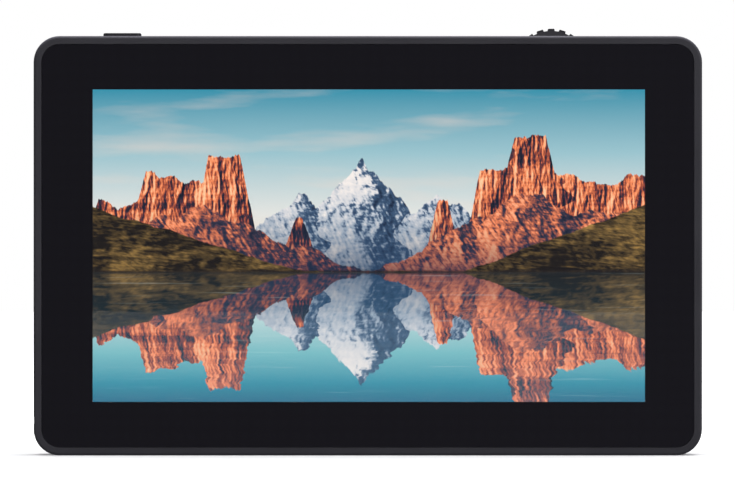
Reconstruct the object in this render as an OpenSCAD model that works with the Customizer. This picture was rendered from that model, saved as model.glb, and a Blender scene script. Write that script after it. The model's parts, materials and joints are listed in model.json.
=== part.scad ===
// Camera-top field monitor, 6-inch class, built from separate pieces.
// Millimetres. X runs to the right of the person watching, Y away from that person, Z up.
// The origin is the mouth of the tripod thread, in the middle of the underside.

/* [Body] */
// Housing beyond the lit picture, at each side
bezel_side = 13.95; // [12.6:0.05:18]
// Housing beyond the lit picture, above and below
bezel_high = 12.85; // [11.6:0.05:18]
// Clearance between the power jacks and the inner face of the rear cover's slope
slope_gap = 0.1; // [0.05:0.05:4]
// Radius of the four corners, seen from the front
corner_r = 6.3; // [6:0.1:9]
// Rounding of the outer front edge
edge_r = 0.6; // [0.3:0.1:1]
// Bevel on both sides of the seam between front frame and rear cover
seam_bevel = 0.2; // [0.1:0.05:0.4]
// Wall of the rear cover
cover_wall = 1.8; // [1.5:0.1:2.2]
// Corner radius of the flat back, inside the slope that runs round it
back_r = 1.4; // [1.3:0.1:2.4]
// Rounding between that slope and the faces beside it
slope_round = 2; // [1:0.1:2.2]
// Width of the ledge that carries the glass
ledge_w = 3; // [2.4:0.1:3.4]
// Thickness of that ledge
ledge_t = 1.2; // [0.9:0.1:1.3]

/* [Glass] */
// Rim of the front frame that shows round the glass
rim_w = 1.9; // [1.5:0.1:2.1]
// Gap between the glass edge and the rim
glass_gap = 0.1; // [0.05:0.05:0.3]
// How far the glass lies behind the front of the rim
glass_sink = 0.2; // [0:0.05:0.4]
// Thickness of the cover glass
glass_t = 1.1; // [0.7:0.1:1.3]
// Thickness of the printed black border and its tape
film_t = 0.15; // [0.1:0.05:0.3]

/* [Screen] */
// Width of the lit picture
screen_w = 133.1; // [120:0.1:160]
// Height of the lit picture
screen_h = 75.3; // [68:0.1:95]
// How far the picture lies to the right of the middle
screen_shift = 0.23; // [-0.5:0.01:0.5]
// Thickness of the touch sensor
touch_t = 0.55; // [0.4:0.05:0.7]
// Thickness of the foam ring
gasket_t = 0.6; // [0.4:0.05:0.8]
// Width of the foam ring
gasket_w = 1.7; // [1.2:0.1:2]
// Gap between the picture and the foam ring
gasket_gap = 0.5; // [0.3:0.1:0.7]
// Thickness of the liquid crystal cell
cell_t = 1.3; // [1:0.1:1.4]
// Cell beyond the picture, at the top
cell_top = 2.3; // [2:0.1:3]
// Room under the backlight, in which the ribbon cables pass
flex_room = 2.05; // [1.6:0.05:2.6]
// Clearance between the display and the corner bosses
boss_gap = 0.6; // [0.3:0.1:0.8]
// Depth of the backlight behind the cell
backlight_d = 2.6; // [2.4:0.1:2.8]
// Wall of the backlight frame
backlight_wall = 1.2; // [0.8:0.1:1.3]
// Thickness of the backlight frame's rear sheet
backlight_floor = 0.3; // [0.2:0.05:0.4]
// Clearance round parts that lie in the backlight frame
optic_gap = 0.2; // [0.1:0.05:0.3]
// Step that the cell's edge rests on
cell_step = 0.6; // [0.4:0.05:0.8]
// Thickness of the diffuser
diffuser_t = 0.4; // [0.3:0.05:0.5]
// Thickness of the reflector
reflector_t = 0.2; // [0.1:0.05:0.3]
// Height of the light strip along the guide's lower edge
led_h = 1; // [0.8:0.1:1.2]

/* [Electronics] */
// Thickness of the chassis plate
chassis_t = 0.8; // [0.6:0.1:1]
// Gap between the chassis plate and the wall of the front frame
chassis_gap = 1.4; // [1.3:0.1:1.6]
// How far the seam of the housing lies behind the chassis plate
seam_step = 0.2; // [0.1:0.05:0.3]
// Height of the stand-offs under the main board
standoff_h = 1; // [1:0.1:1.4]
// Radius of those stand-offs
standoff_r = 2.2; // [1.9:0.1:2.6]
// Thickness of the main board
board_t = 1.2; // [0.8:0.1:1.6]
// Main board's edge inside the housing's side
board_inset = 8; // [7.5:0.5:9]
// Lower edge of the main board above the underside
board_low = 12; // [11.5:0.1:13]
// Upper edge of the main board below the top
board_drop = 11; // [10:0.1:12]
// Side of the square video chip
chip_w = 17; // [12:0.5:20]
// Thickness of the video chip
chip_t = 1.6; // [1:0.1:2]
// Thickness of the pad between chip and heat sink
pad_t = 0.5; // [0.3:0.1:1]
// Middle of the chip, across
chip_x = -10; // [-14:0.5:-8]
// Middle of the chip, above the housing's middle
chip_up = 4.5; // [2:0.5:6]
// Heat sink width
sink_w = 40; // [32:1:44]
// Heat sink height
sink_h = 34; // [28:1:36]
// Thickness of the heat sink's base
sink_base = 1.4; // [1:0.1:2]
// Length of the heat sink's fins
fin_l = 4.6; // [3:0.1:4.8]
// Thickness of one fin
fin_t = 0.9; // [0.7:0.1:1.1]
// Number of fins
fin_n = 10; // [6:1:12]
// Side of a power inductor
coil_w = 7; // [6:0.1:8]
// Height of a power inductor
coil_h = 3.2; // [2.5:0.1:4.5]
// Radius of a capacitor
cap_r = 2.5; // [2:0.1:2.8]
// Height of a capacitor
cap_h = 5.6; // [4.5:0.1:7]
// Thickness of the ribbon cables
flex_t = 0.15; // [0.1:0.05:0.2]
// Width of the display's ribbon cable
lcd_flex_w = 20; // [16:0.5:24]
// Width of the touch sensor's ribbon cable
touch_flex_w = 8; // [6:0.5:12]

/* [Side sockets] */
// How far the sockets' mouths lie inside the housing's side
socket_sink = 0.4; // [0.2:0.1:0.8]
// Clearance round each socket in its opening
port_gap = 0.25; // [0.15:0.05:0.3]
// Long side of a video socket
hdmi_w = 15; // [14.5:0.1:15.5]
// Short side of a video socket
hdmi_h = 5.6; // [5.4:0.1:5.9]
// Depth of a video socket
hdmi_d = 11.5; // [10:0.1:12]
// Sheet of the metal socket shells
shell_t = 0.5; // [0.4:0.05:0.6]
// Height of the video input's middle
hdmi_in_z = 70; // [69:0.5:72]
// Height of the video output's middle
hdmi_out_z = 50; // [49:0.5:51]
// Long side of the data socket
usb_w = 9; // [8.6:0.1:9.4]
// Short side of the data socket
usb_h = 3.4; // [3.2:0.1:3.6]
// Depth of the data socket
usb_d = 9; // [9:0.1:10]
// Height of the data socket's middle
usb_z = 33; // [31:0.5:34]
// Side of a power jack's square block
jack_w = 7; // [6.8:0.1:7.4]
// Radius of a power jack's opening
jack_r = 2.9; // [2.7:0.05:3]
// Depth of a power jack
jack_d = 12; // [11:0.1:13]
// Wall of the jacks' round noses
nose_wall = 0.55; // [0.4:0.05:0.6]
// Radius of a power jack's pin
jack_pin_r = 1; // [0.8:0.05:1.2]
// Height of the power input's middle
dc_in_z = 30; // [28:0.5:32]
// Height of the power output's middle
dc_out_z = 46; // [44:0.5:48]
// Side of the earphone jack's square block
phone_w = 6.4; // [6.2:0.1:7]
// Radius of the earphone jack's bore
phone_r = 1.8; // [1.75:0.01:1.85]
// Depth of the earphone jack
phone_d = 13.5; // [13:0.1:14.5]
// Length of its bore
phone_bore = 12; // [11:0.1:12.5]
// Height of the earphone jack's middle
phone_z = 64; // [62:0.5:66]

/* [Power button] */
// Length of the button along the top edge
key_w = 9.2; // [8:0.1:11]
// Width of the button, front to back
key_d = 3.6; // [3:0.1:4]
// How far the button stands out of the top
key_up = 0.95; // [0.6:0.05:1.3]
// Travel of the button
key_travel = 0.4; // [0.2:0.05:0.45]
// Button's middle from the left side
key_in = 21.05; // [19:0.05:24]
// Rounding of the button's upper edges
key_round = 0.4; // [0.2:0.05:0.6]
// Clearance between button and slot
key_gap = 0.15; // [0.1:0.05:0.25]
// Edge of the button's flange beyond the slot
key_flange = 0.7; // [0.5:0.05:0.8]

/* [Toggle] */
// Radius over the tips of the toggle's teeth
toggle_r = 9.35; // [9.1:0.05:9.6]
// Height of a tooth
tooth_h = 0.5; // [0.4:0.05:0.7]
// Teeth to a full turn
tooth_turn = 21; // [18:1:28]
// Share of the pitch that a tooth's foot takes
tooth_share = 0.62; // [0.5:0.01:0.7]
// How much narrower a tooth is at its tip, as a share of its height
tooth_taper = 0.25; // [0:0.05:0.9]
// Pivot of the toggle below the top
toggle_drop = 7.35; // [7.1:0.05:7.7]
// Toggle's middle from the right side
toggle_in = 36.1; // [33:0.1:40]
// Width of the toggle, front to back
toggle_d = 4.4; // [3.6:0.1:4.6]
// Turn of the toggle to either side
toggle_turn = 12; // [6:1:14]
// Travel of the toggle when it is pressed
toggle_travel = 0.5; // [0.3:0.05:0.6]
// Thickness of the toggle's toothed arc
toggle_rim = 2.2; // [1.6:0.1:2.6]
// Thickness of the web that carries the arc
toggle_web = 1.8; // [1.2:0.1:2.2]
// Radius of the toggle's hub
hub_r = 2.4; // [2:0.1:2.6]
// Radius of the toggle's axle
axle_r = 1; // [0.8:0.05:1.2]
// Running clearance of the toggle on its axle
axle_gap = 0.05; // [0.02:0.01:0.08]
// Clearance between the teeth and their slot
slot_gap = 0.35; // [0.25:0.05:0.5]
// Thickness of the fork's cheeks
cheek_t = 0.8; // [0.6:0.05:0.9]
// Gap between cheek and toggle
cheek_gap = 0.15; // [0.1:0.05:0.2]
// Side of the fork's square stem
stem_w = 3; // [2.4:0.1:3.6]
// Length of that stem
stem_l = 6; // [5:0.5:7]
// Thickness of the fork's base
fork_base_t = 2.2; // [1.8:0.1:2.6]
// Room between the toggle's hub and the fork's base
hub_room = 1.2; // [0.8:0.1:1.6]
// Gap between the fork and the main board
fork_gap = 0.25; // [0.2:0.05:0.4]

/* [Back] */
// Thickness of the battery plate's rails
rail_t = 3.6; // [3:0.1:5]
// Battery plate beyond the release
plate_end = 2.8; // [2.4:0.1:4]
// Play of the pack along the rails
pack_play = 0.4; // [0.3:0.1:0.6]
// Depth of the battery plate's base
plate_d = 5.5; // [5:0.1:7]
// Wall and floor of the battery plate
plate_wall = 1.8; // [1.5:0.1:2]
// Corner radius of the battery plate
plate_r = 3; // [2:0.1:4]
// Width between the rails: the pack and its play
bay_w = 38.8; // [38.6:0.1:39]
// Length of the battery pack
pack_l = 70.8; // [70:0.1:71]
// Height of the rails above the plate's floor
rail_h = 5; // [4.4:0.1:5.6]
// How far the rails' lips reach over the pack's grooves
lip_w = 1.3; // [1:0.1:1.6]
// Thickness of the lips
lip_t = 1.3; // [1:0.1:1.6]
// Length of each of the two lips on a rail
lip_l = 17; // [12:0.5:22]
// Thickness of the wall that stops the pack
stop_t = 3; // [2.5:0.1:3.2]
// Width of the contact block
contact_w = 25; // [24:0.5:28]
// Height of the contact block along the rails
contact_l = 5; // [4.5:0.1:5.2]
// How far the contact block stands above the plate's floor
contact_h = 3.4; // [3:0.1:4]
// Thickness of a contact blade
blade_t = 0.8; // [0.6:0.05:1]
// Width of a contact blade
blade_w = 1.8; // [1.4:0.1:2.2]
// Length of a blade that stands out of the block
blade_out = 4; // [3:0.1:5]
// Width of the battery release
latch_w = 10; // [8:0.5:12]
// Height of the battery release
latch_h = 5; // [4:0.1:5.2]
// How far the release stands above the plate's floor
latch_up = 2.4; // [2.1:0.1:3]
// Travel of the release
latch_travel = 2; // [1.5:0.1:2.1]
// Thickness of the release's flange
latch_flange = 0.8; // [0.6:0.1:0.9]
// Clearance round the release
latch_gap = 0.2; // [0.15:0.05:0.3]
// Wire of the release's spring
wire_d = 0.3; // [0.25:0.05:0.35]
// Radius of the spring, at the middle of its wire
spring_r = 2; // [1.5:0.1:2.3]
// Turns of the spring
spring_n = 3; // [2:1:3]
// Number of vent slots on each side
vent_n = 11; // [6:1:12]
// Distance from vent slot to vent slot
vent_pitch = 4.4; // [4:0.1:5]
// Height of one vent slot
vent_h = 2; // [1.4:0.1:2.4]
// Length of one vent slot
vent_l = 30; // [20:0.5:34]
// Middle of each vent field from the middle of the back
vent_x = 48; // [46:0.5:50]

/* [Fastening] */
// Bore radius of the tripod insert, over its thread's crests
thread_r = 3.2; // [3.15:0.01:3.3]
// Length of the tripod insert
insert_l = 8.5; // [7:0.1:8.6]
// Outer radius of the tripod insert
insert_r = 4.45; // [4.2:0.05:4.5]
// Width of the housing's block round the insert
insert_block_w = 15; // [13:0.5:18]
// Distance of the corner screws from the housing's sides
screw_inset = 6; // [5.8:0.05:6.3]
// Shaft radius of the corner screws
screw_r = 1; // [0.9:0.05:1.1]
// Head radius of the corner screws
head_r = 1.9; // [1.7:0.05:2.1]
// Head height of the corner screws
head_h = 1.3; // [1:0.05:1.6]
// Length of a corner screw's shaft
screw_l = 14; // [13.2:0.1:14.6]
// Play of a screw's head and shaft in a clearance hole
screw_play = 0.25; // [0.15:0.05:0.35]
// Gap between a screw's thread and its pilot hole
pilot_gap = 0.05; // [0.03:0.01:0.08]
// Radius of the front frame's corner bosses
boss_r = 2.7; // [2.3:0.1:2.8]
// Radius of the rear cover's corner posts
post_r = 3.2; // [2.8:0.1:3.4]
// Shaft radius of the small screws
small_r = 0.8; // [0.7:0.05:0.9]
// Head radius of the small screws
small_head_r = 1.6; // [1.4:0.05:1.7]
// Head height of the small screws
small_head_h = 0.8; // [0.6:0.05:0.9]
// Height of the side screws above and below the middle
side_screw_z = 18; // [14:0.5:20]
// Radius of the bosses under the side screws
side_boss_r = 1.9; // [1.6:0.1:2]

/* [Hidden] */

// Curve quality
$fn = 64;
// Steps in a small rounded edge
edge_steps = 5;
// How far a cutting shape runs past what it cuts
over = 1;
// Thinnest wall left beside the tripod insert
insert_wall = 0.5;

// Colours
shell_grey = "#333337";
key_black = "#1B1B1D";
toggle_grey = "#333335";
glass_black = "#19181C";

// Depths of the stack, from the seam forwards to the front
insert_hole_r = insert_r + pilot_gap;
seam_y = -insert_hole_r - insert_wall;
chassis_back = seam_y - seam_step;
chassis_y = chassis_back - chassis_t;
backlight_y = chassis_y - backlight_d;
cell_y = backlight_y - cell_t;
gasket_y = cell_y - gasket_t;
touch_y = gasket_y - touch_t;
film_y = touch_y - film_t;
glass_y = film_y - glass_t;
front_y = glass_y - glass_sink;

// Depths behind the seam: the jacks on the board settle where the slope may begin
board_y = chassis_back + standoff_h;
board_back = board_y + board_t;
slope_y = board_back + jack_w - port_gap + cover_wall * tan(22.5) + slope_gap;
back_slope = corner_r - back_r;
back_y = slope_y + back_slope;
body_d = back_y - front_y;
floor_y = back_y + plate_d;

// Places seen from the front
body_w = screen_w + 2 * bezel_side;
body_h = screen_h + 2 * bezel_high;
mid_z = body_h / 2;
side_x = body_w / 2;
glass_w = body_w - 2 * (rim_w + glass_gap);
glass_h = body_h - 2 * (rim_w + glass_gap);
glass_r = corner_r - rim_w - glass_gap;
ledge_y = touch_y;
touch_margin = bezel_side - screw_inset - boss_r - boss_gap - abs(screen_shift);
cell_side = touch_margin - backlight_wall - optic_gap;
cell_chin = bezel_high - rim_w - ledge_w - flex_room - backlight_wall - optic_gap;
cell_w = screen_w + 2 * cell_side;
cell_h = screen_h + cell_top + cell_chin;
cell_z = mid_z + (cell_top - cell_chin) / 2;
tray_w = cell_w + 2 * optic_gap;
tray_h = cell_h + 2 * optic_gap;
optic_w = cell_w - 2 * cell_step;
optic_h = cell_h - 2 * cell_step;
chassis_w = body_w - 2 * (rim_w + chassis_gap);
chassis_h = body_h - 2 * (rim_w + chassis_gap);
board_w = body_w - 2 * board_inset;
board_high = body_h - board_drop;
chip_z = mid_z + chip_up;
pivot_z = body_h - toggle_drop;

// Corner screws: [x, z] of each
corner_screws = [for (sx = [-1, 1], sz = [-1, 1])
    [sx * (side_x - screw_inset), mid_z + sz * (mid_z - screw_inset)]];
// Screws that hold the chassis plate to the front frame
side_screw_x = side_x - rim_w - chassis_gap - side_boss_r;
side_screws = [for (sx = [-1, 1], sz = [-1, 1]) [sx * side_screw_x, mid_z + sz * side_screw_z]];
// Screws that hold the main board to the chassis plate
board_screw_in = 5;
board_screw_side = 7.25;
board_places = [for (sx = [-1, 0, 1], z = [board_low + board_screw_in, board_high - board_screw_in])
    [sx * (board_w / 2 - board_screw_side), z]];
// Battery plate, and the screws that hold it to the rear cover
plate_w = bay_w + 2 * rail_t;
plate_h = stop_t + contact_l + pack_l + pack_play + latch_h + plate_end;
plate_screw_x = 15;
plate_screw_in = 11;
plate_places = [for (sx = [-1, 1], sz = [-1, 1])
    [sx * plate_screw_x, mid_z + sz * (plate_h / 2 - plate_screw_in)]];

// ---------- shapes that several pieces share ----------

// A flat sketch, x across and y up, made solid from depth y over a thickness d
module deep(y, d) {
    translate([0, y + d, 0]) rotate([90, 0, 0]) linear_extrude(d) children();
}

// A rectangle with round corners about the origin
module rounded(w, h, r) {
    square([w - 2 * r, h], center = true);
    square([w, h - 2 * r], center = true);
    for (sx = [-1, 1], sy = [-1, 1]) translate([sx * (w / 2 - r), sy * (h / 2 - r)]) circle(r);
}

// A round-cornered plate in the middle of the housing
module plate(w, h, r, y, d) {
    deep(y, d) translate([0, mid_z]) rounded(w, h, r);
}

// A square-cornered sheet of the display stack, centred on the picture
module sheet(w, h, z, y, d) {
    translate([screen_shift - w / 2, y, z - h / 2]) cube([w, d, h]);
}

// A round bar along the depth, at [x, z]
module bar(place, y, d, r) {
    translate([place[0], y, place[1]]) rotate([-90, 0, 0]) cylinder(r = r, h = d);
}

// A screw whose head lies behind its seat: seat depth, shaft length, radii and head height
module screw(place, seat, length, r, wide, tall) {
    bar(place, seat - length, length, r);
    difference() {
        bar(place, seat, tall, wide);
        slot = wide * 1.1;
        for (turn = [0, 90]) translate([place[0], seat + tall, place[1]]) rotate([0, turn, 0])
            cube([slot, tall, wide / 4], center = true);
    }
}

// Carries a profile (x outwards from the corner's middle, y the depth) round the housing
module carry(w, h, r) {
    translate([0, 0, mid_z]) rotate([90, 0, 0]) for (k = [0:3]) rotate([0, 0, 90 * k]) {
        reach = (k % 2 == 0 ? w : h) / 2 - r;
        run = (k % 2 == 0 ? h : w) / 2 - r;
        translate([reach, run, 0]) rotate_extrude(angle = 90) mirror([0, 1]) children();
        translate([reach, run, 0]) rotate([90, 0, 0]) linear_extrude(2 * run)
            mirror([0, 1]) children();
    }
}

// Points of an arc about c, from angle a to angle b
function arc(c, r, a, b, steps = edge_steps) =
    [for (i = [0:steps]) let (t = a + (b - a) * i / steps) c + r * [cos(t), sin(t)]];

// Puts a socket at a side wall: its own x runs outwards and ends at the mouth, y is the depth
module at_side(side, z) {
    mirror([side < 0 ? 1 : 0, 0, 0]) translate([side_x - socket_sink, board_back, z]) children();
}

// ---------- front ----------

module frame_profile() {
    inner = corner_r - rim_w;
    polygon(concat(
        [[inner, front_y]],
        arc([corner_r - edge_r, front_y + edge_r], edge_r, -90, 0),
        [[corner_r, seam_y - seam_bevel],
        [corner_r - seam_bevel, seam_y],
        [inner, seam_y],
        [inner, ledge_y + ledge_t],
        [inner - ledge_w, ledge_y + ledge_t],
        [inner - ledge_w, ledge_y],
        [inner, ledge_y]]));
}

module front_frame() {
    // Shallow nick in the left side, near the bottom
    nick_l = 1.7;
    nick_t = 0.15;
    nick_z = 8.4;
    color(shell_grey) difference() {
        union() {
            carry(body_w, body_h, corner_r) frame_profile();
            for (p = corner_screws) bar(p, ledge_y, chassis_y - ledge_y, boss_r);
            for (p = side_screws) bar(p, ledge_y, chassis_y - ledge_y, side_boss_r);
        }
        for (p = corner_screws) bar(p, ledge_y + ledge_t, body_d, screw_r + pilot_gap);
        for (p = side_screws) bar(p, ledge_y + ledge_t, body_d, small_r + pilot_gap);
        translate([-side_x - over, front_y - over, nick_z - nick_l / 2])
            cube([over + nick_t, over + edge_r + nick_l, nick_l]);
    }
}

module cover_glass() {
    color(glass_black) plate(glass_w, glass_h, glass_r, glass_y, glass_t);
}

module border_film() {
    color("#0C0C0E") difference() {
        plate(glass_w, glass_h, glass_r, film_y, film_t);
        sheet(screen_w, screen_h, mid_z, film_y - over, film_t + 2 * over);
    }
}

module touch_sensor() {
    color("#3A4048") sheet(screen_w + 2 * touch_margin, screen_h + 2 * touch_margin, mid_z,
        touch_y, touch_t);
}

module lcd_gasket() {
    color("#111111") difference() {
        outer = 2 * (gasket_gap + gasket_w);
        sheet(screen_w + outer, screen_h + outer, mid_z, gasket_y, gasket_t);
        sheet(screen_w + 2 * gasket_gap, screen_h + 2 * gasket_gap, mid_z, gasket_y - over,
            gasket_t + 2 * over);
    }
}

module lcd_cell() {
    color("#4B8FA0") sheet(cell_w, cell_h, cell_z, cell_y, cell_t);
}

module backlight_frame() {
    color("#D8D8DA") difference() {
        sheet(tray_w + 2 * backlight_wall, tray_h + 2 * backlight_wall, cell_z, cell_y,
            cell_t + backlight_d);
        sheet(tray_w, tray_h, cell_z, cell_y - over, cell_t + over);
        sheet(optic_w, optic_h, cell_z, cell_y, cell_t + backlight_d - backlight_floor);
    }
}

module diffuser_sheet() {
    color("#F0F0EC") sheet(optic_w - 2 * optic_gap, optic_h - 2 * optic_gap, cell_z,
        backlight_y, diffuser_t);
}

// Depth that is left for the light guide between diffuser and reflector
guide_y = backlight_y + diffuser_t;
guide_t = backlight_d - backlight_floor - reflector_t - diffuser_t;
led_z = cell_z - optic_h / 2 + optic_gap;

module light_guide() {
    low = led_z + led_h + optic_gap;
    high = cell_z + optic_h / 2 - optic_gap;
    color("#E6F2F2") sheet(optic_w - 2 * optic_gap, high - low, (high + low) / 2, guide_y, guide_t);
}

module reflector_sheet() {
    color("#F6F6F6") sheet(optic_w - 2 * optic_gap, optic_h - 2 * optic_gap, cell_z,
        guide_y + guide_t, reflector_t);
}

module led_strip() {
    led_l = 3;
    led_pitch = 5;
    led_end = 2;
    led_n = floor((optic_w - 2 * led_end) / led_pitch);
    tape = led_h / 3;
    color("#E8D890") {
        sheet(optic_w - 2 * optic_gap, tape, led_z + tape / 2, guide_y, guide_t);
        for (i = [0:led_n - 1])
            translate([screen_shift + (i - (led_n - 1) / 2) * led_pitch - led_l / 2, guide_y, led_z])
                cube([led_l, guide_t, led_h]);
    }
}

// ---------- chassis and ribbon cables ----------

lcd_flex_x = 30;
touch_flex_x = -30;
// Height at which both ribbon cables pass under the backlight
flex_z = rim_w + ledge_w + flex_room / 2;
// Depth at which they run up behind the chassis plate
flex_y = chassis_back + 0.3;
// Lower edge of the connectors that they enter
flex_rise = 8;
connector_z = flex_z + flex_rise;

module chassis_plate() {
    window_h = 2;
    color("#9A9CA0") difference() {
        union() {
            plate(chassis_w, chassis_h, corner_r - rim_w - chassis_gap, chassis_y, chassis_t);
            for (p = board_places) bar(p, chassis_y, chassis_t + standoff_h, standoff_r);
        }
        for (p = corner_screws) bar(p, chassis_y - over, chassis_t + 2 * over, screw_r + screw_play);
        for (p = side_screws) bar(p, chassis_y - over, chassis_t + 2 * over, small_r + screw_play);
        for (p = board_places) bar(p, chassis_y - over, body_d, small_r + pilot_gap);
        for (f = [[lcd_flex_x, lcd_flex_w], [touch_flex_x, touch_flex_w]])
            translate([f[0] - f[1] / 2 - over / 2, chassis_y - over, flex_z + flex_t / 2 - window_h / 2])
                cube([f[1] + over, chassis_t + 2 * over, window_h]);
    }
}

module chassis_screws() {
    length = chassis_back - ledge_y - ledge_t - pilot_gap;
    color("#7C7E82") for (p = side_screws)
        screw(p, chassis_back, length, small_r, small_head_r, small_head_h);
}

// A ribbon cable: down the front of the stack, under the backlight and up to the board
module ribbon(x, w, front, top) {
    translate([x - w / 2, 0, 0]) {
        translate([0, front, flex_z]) cube([w, flex_t, top - flex_z]);
        translate([0, front, flex_z]) cube([w, flex_y + flex_t - front, flex_t]);
        translate([0, flex_y, flex_z]) cube([w, flex_t, connector_z - flex_z]);
    }
}

module lcd_flex() {
    bond = 1.2;
    color("#B06A2C") ribbon(lcd_flex_x, lcd_flex_w, cell_y - flex_t,
        cell_z - cell_h / 2 + bond);
}

module touch_flex() {
    bond = 1.2;
    color("#B06A2C") ribbon(touch_flex_x, touch_flex_w, gasket_y,
        mid_z - screen_h / 2 - touch_margin + bond);
}

// ---------- main board ----------

module main_board() {
    color("#1E4A32") difference() {
        translate([-board_w / 2, board_y, board_low]) cube([board_w, board_t, board_high - board_low]);
        for (p = board_places) bar(p, board_y - over, board_t + 2 * over, small_r + screw_play);
    }
}

module board_screws() {
    color("#7C7E82") for (p = board_places)
        screw(p, board_back, board_back - chassis_y, small_r, small_head_r, small_head_h);
}

module video_chip() {
    color("#202022") translate([chip_x - chip_w / 2, board_back, chip_z - chip_w / 2])
        cube([chip_w, chip_t, chip_w]);
}

module thermal_pad() {
    color("#8AA0B8") translate([chip_x - chip_w / 2, board_back + chip_t, chip_z - chip_w / 2])
        cube([chip_w, pad_t, chip_w]);
}

module heat_sink() {
    low = board_back + chip_t + pad_t;
    color("#B4B6BA") translate([chip_x - sink_w / 2, low, chip_z - sink_h / 2]) {
        cube([sink_w, sink_base, sink_h]);
        for (i = [0:fin_n - 1]) translate([i * (sink_w - fin_t) / (fin_n - 1), 0, 0])
            cube([fin_t, sink_base + fin_l, sink_h]);
    }
}

module power_inductors() {
    coil_x = 26;
    coil_z = 26;
    coil_pitch = 11;
    edge = 0.5;
    lid = 0.6;
    color("#3C3C40") for (i = [0, 1], j = [0, 1])
        translate([coil_x + i * coil_pitch, board_back, coil_z + j * coil_pitch]) {
            translate([-coil_w / 2, 0, -coil_w / 2]) cube([coil_w, coil_h - lid, coil_w]);
            rotate([-90, 0, 0]) cylinder(r = coil_w / 2 - edge, h = coil_h);
        }
}

module capacitors() {
    row_in = 20.5;
    row_x = board_w / 2 - row_in;
    row_z = 24;
    row_pitch = 7;
    foot_h = 0.8;
    foot_edge = 0.2;
    color("#A8AAB0") for (i = [0:3]) translate([row_x, board_back, row_z + i * row_pitch]) {
        translate([-cap_r, 0, -cap_r]) cube([2 * cap_r, foot_h, 2 * cap_r]);
        rotate([-90, 0, 0]) cylinder(r = cap_r - foot_edge, h = cap_h);
    }
}

module board_connectors() {
    tall = 3.6;
    // Socket of the battery wires, beside the middle board screw
    plug_x = -20;
    plug_w = 12;
    plug_h = 5;
    plug_d = 4;
    color("#E8E4D8") {
        for (f = [[lcd_flex_x, lcd_flex_w], [touch_flex_x, touch_flex_w]])
            translate([f[0] - f[1] / 2 - over, flex_y - flex_t, connector_z])
                cube([f[1] + 2 * over, board_y - flex_y + flex_t, tall]);
        translate([plug_x, board_back, board_low + over]) difference() {
            cube([plug_w, plug_d, plug_h]);
            translate([shell_t * 2, shell_t * 2, shell_t * 2])
                cube([plug_w - shell_t * 4, plug_d, plug_h - shell_t * 4]);
        }
    }
}

// ---------- sockets in the sides ----------

// Outline of a video socket, moved outward by grow: its two rear corners are cut
module hdmi_outline(grow) {
    full = hdmi_h * 0.5;
    cut = hdmi_h * 0.34;
    lean = atan2(cut, hdmi_h - full);
    side = [
        [-grow, hdmi_w / 2 + grow],
        [full + grow * tan(lean / 2), hdmi_w / 2 + grow],
        [hdmi_h + grow, hdmi_w / 2 - cut + grow * tan(45 - lean / 2)]];
    polygon(concat(side, [for (i = [2:-1:0]) [side[i][0], -side[i][1]]]));
}

// A metal shell with an open mouth, from an outline of depth (x) and height (y)
module socket_shell(d) {
    translate([-d, 0, 0]) rotate([90, 0, 90]) linear_extrude(d) children();
}

module hdmi_socket(z) {
    color("#A9ABAE") at_side(-1, z) difference() {
        socket_shell(hdmi_d) hdmi_outline(0);
        translate([over, 0, 0]) socket_shell(hdmi_d - shell_t + over) hdmi_outline(-shell_t);
    }
}

module hdmi_in_socket() {
    hdmi_socket(hdmi_in_z);
}

module hdmi_out_socket() {
    hdmi_socket(hdmi_out_z);
}

module usb_outline(w, h) {
    translate([h / 2, 0]) {
        square([h, w - h], center = true);
        for (s = [-1, 1]) translate([0, s * (w - h) / 2]) circle(h / 2);
    }
}

module usb_port() {
    color("#A9ABAE") at_side(-1, usb_z) difference() {
        socket_shell(usb_d) usb_outline(usb_w, usb_h);
        translate([over, shell_t, 0]) socket_shell(usb_d - shell_t + over)
            usb_outline(usb_w - 2 * shell_t, usb_h - 2 * shell_t);
    }
}

// The plastic tongues that carry the sockets' contacts
module port_tongues() {
    short = 1.5;
    hdmi_tongue = [hdmi_d - 2 * shell_t - short, 1.2, hdmi_w * 0.7];
    usb_tongue = [usb_d - 2 * shell_t - short, 0.8, usb_w * 0.72];
    color("#151517") {
        for (z = [hdmi_in_z, hdmi_out_z]) at_side(-1, z)
            translate([shell_t - hdmi_d, hdmi_h / 2 - hdmi_tongue[1] / 2, -hdmi_tongue[2] / 2])
                cube(hdmi_tongue);
        at_side(-1, usb_z)
            translate([shell_t - usb_d, usb_h / 2 - usb_tongue[1] / 2, -usb_tongue[2] / 2])
                cube(usb_tongue);
    }
}

// A rod along a socket's own x, on the middle of a block of the given height
module rod(from, to, high, r) {
    translate([from, high / 2, 0]) rotate([0, 90, 0]) cylinder(r = r, h = to - from);
}

// Block of a jack behind the wall, with a round nose through it
module jack_block(d, w, nose_r) {
    behind = socket_sink - cover_wall - port_gap;
    translate([-d, 0, -w / 2]) cube([d + behind, w, w]);
    rod(behind - over, 0, w, nose_r);
}

module dc_jack(z) {
    floor_t = 1.5;
    color("#18181A") at_side(1, z) difference() {
        jack_block(jack_d, jack_w, jack_r + nose_wall);
        rod(floor_t - jack_d, over, jack_w, jack_r);
        rod(-jack_d - over, 0, jack_w, jack_pin_r);
    }
}

module dc_in_jack() {
    dc_jack(dc_in_z);
}

module dc_out_jack() {
    dc_jack(dc_out_z);
}

module dc_pins() {
    short = 1;
    color("#C9B27A") for (z = [dc_in_z, dc_out_z]) at_side(1, z)
        rod(-jack_d, -short, jack_w, jack_pin_r);
}

module earphone_jack() {
    color("#18181A") at_side(1, phone_z) difference() {
        jack_block(phone_d, phone_w, phone_r + nose_wall);
        rod(-phone_bore, over, phone_w, phone_r);
    }
}

// ---------- power button ----------

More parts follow.
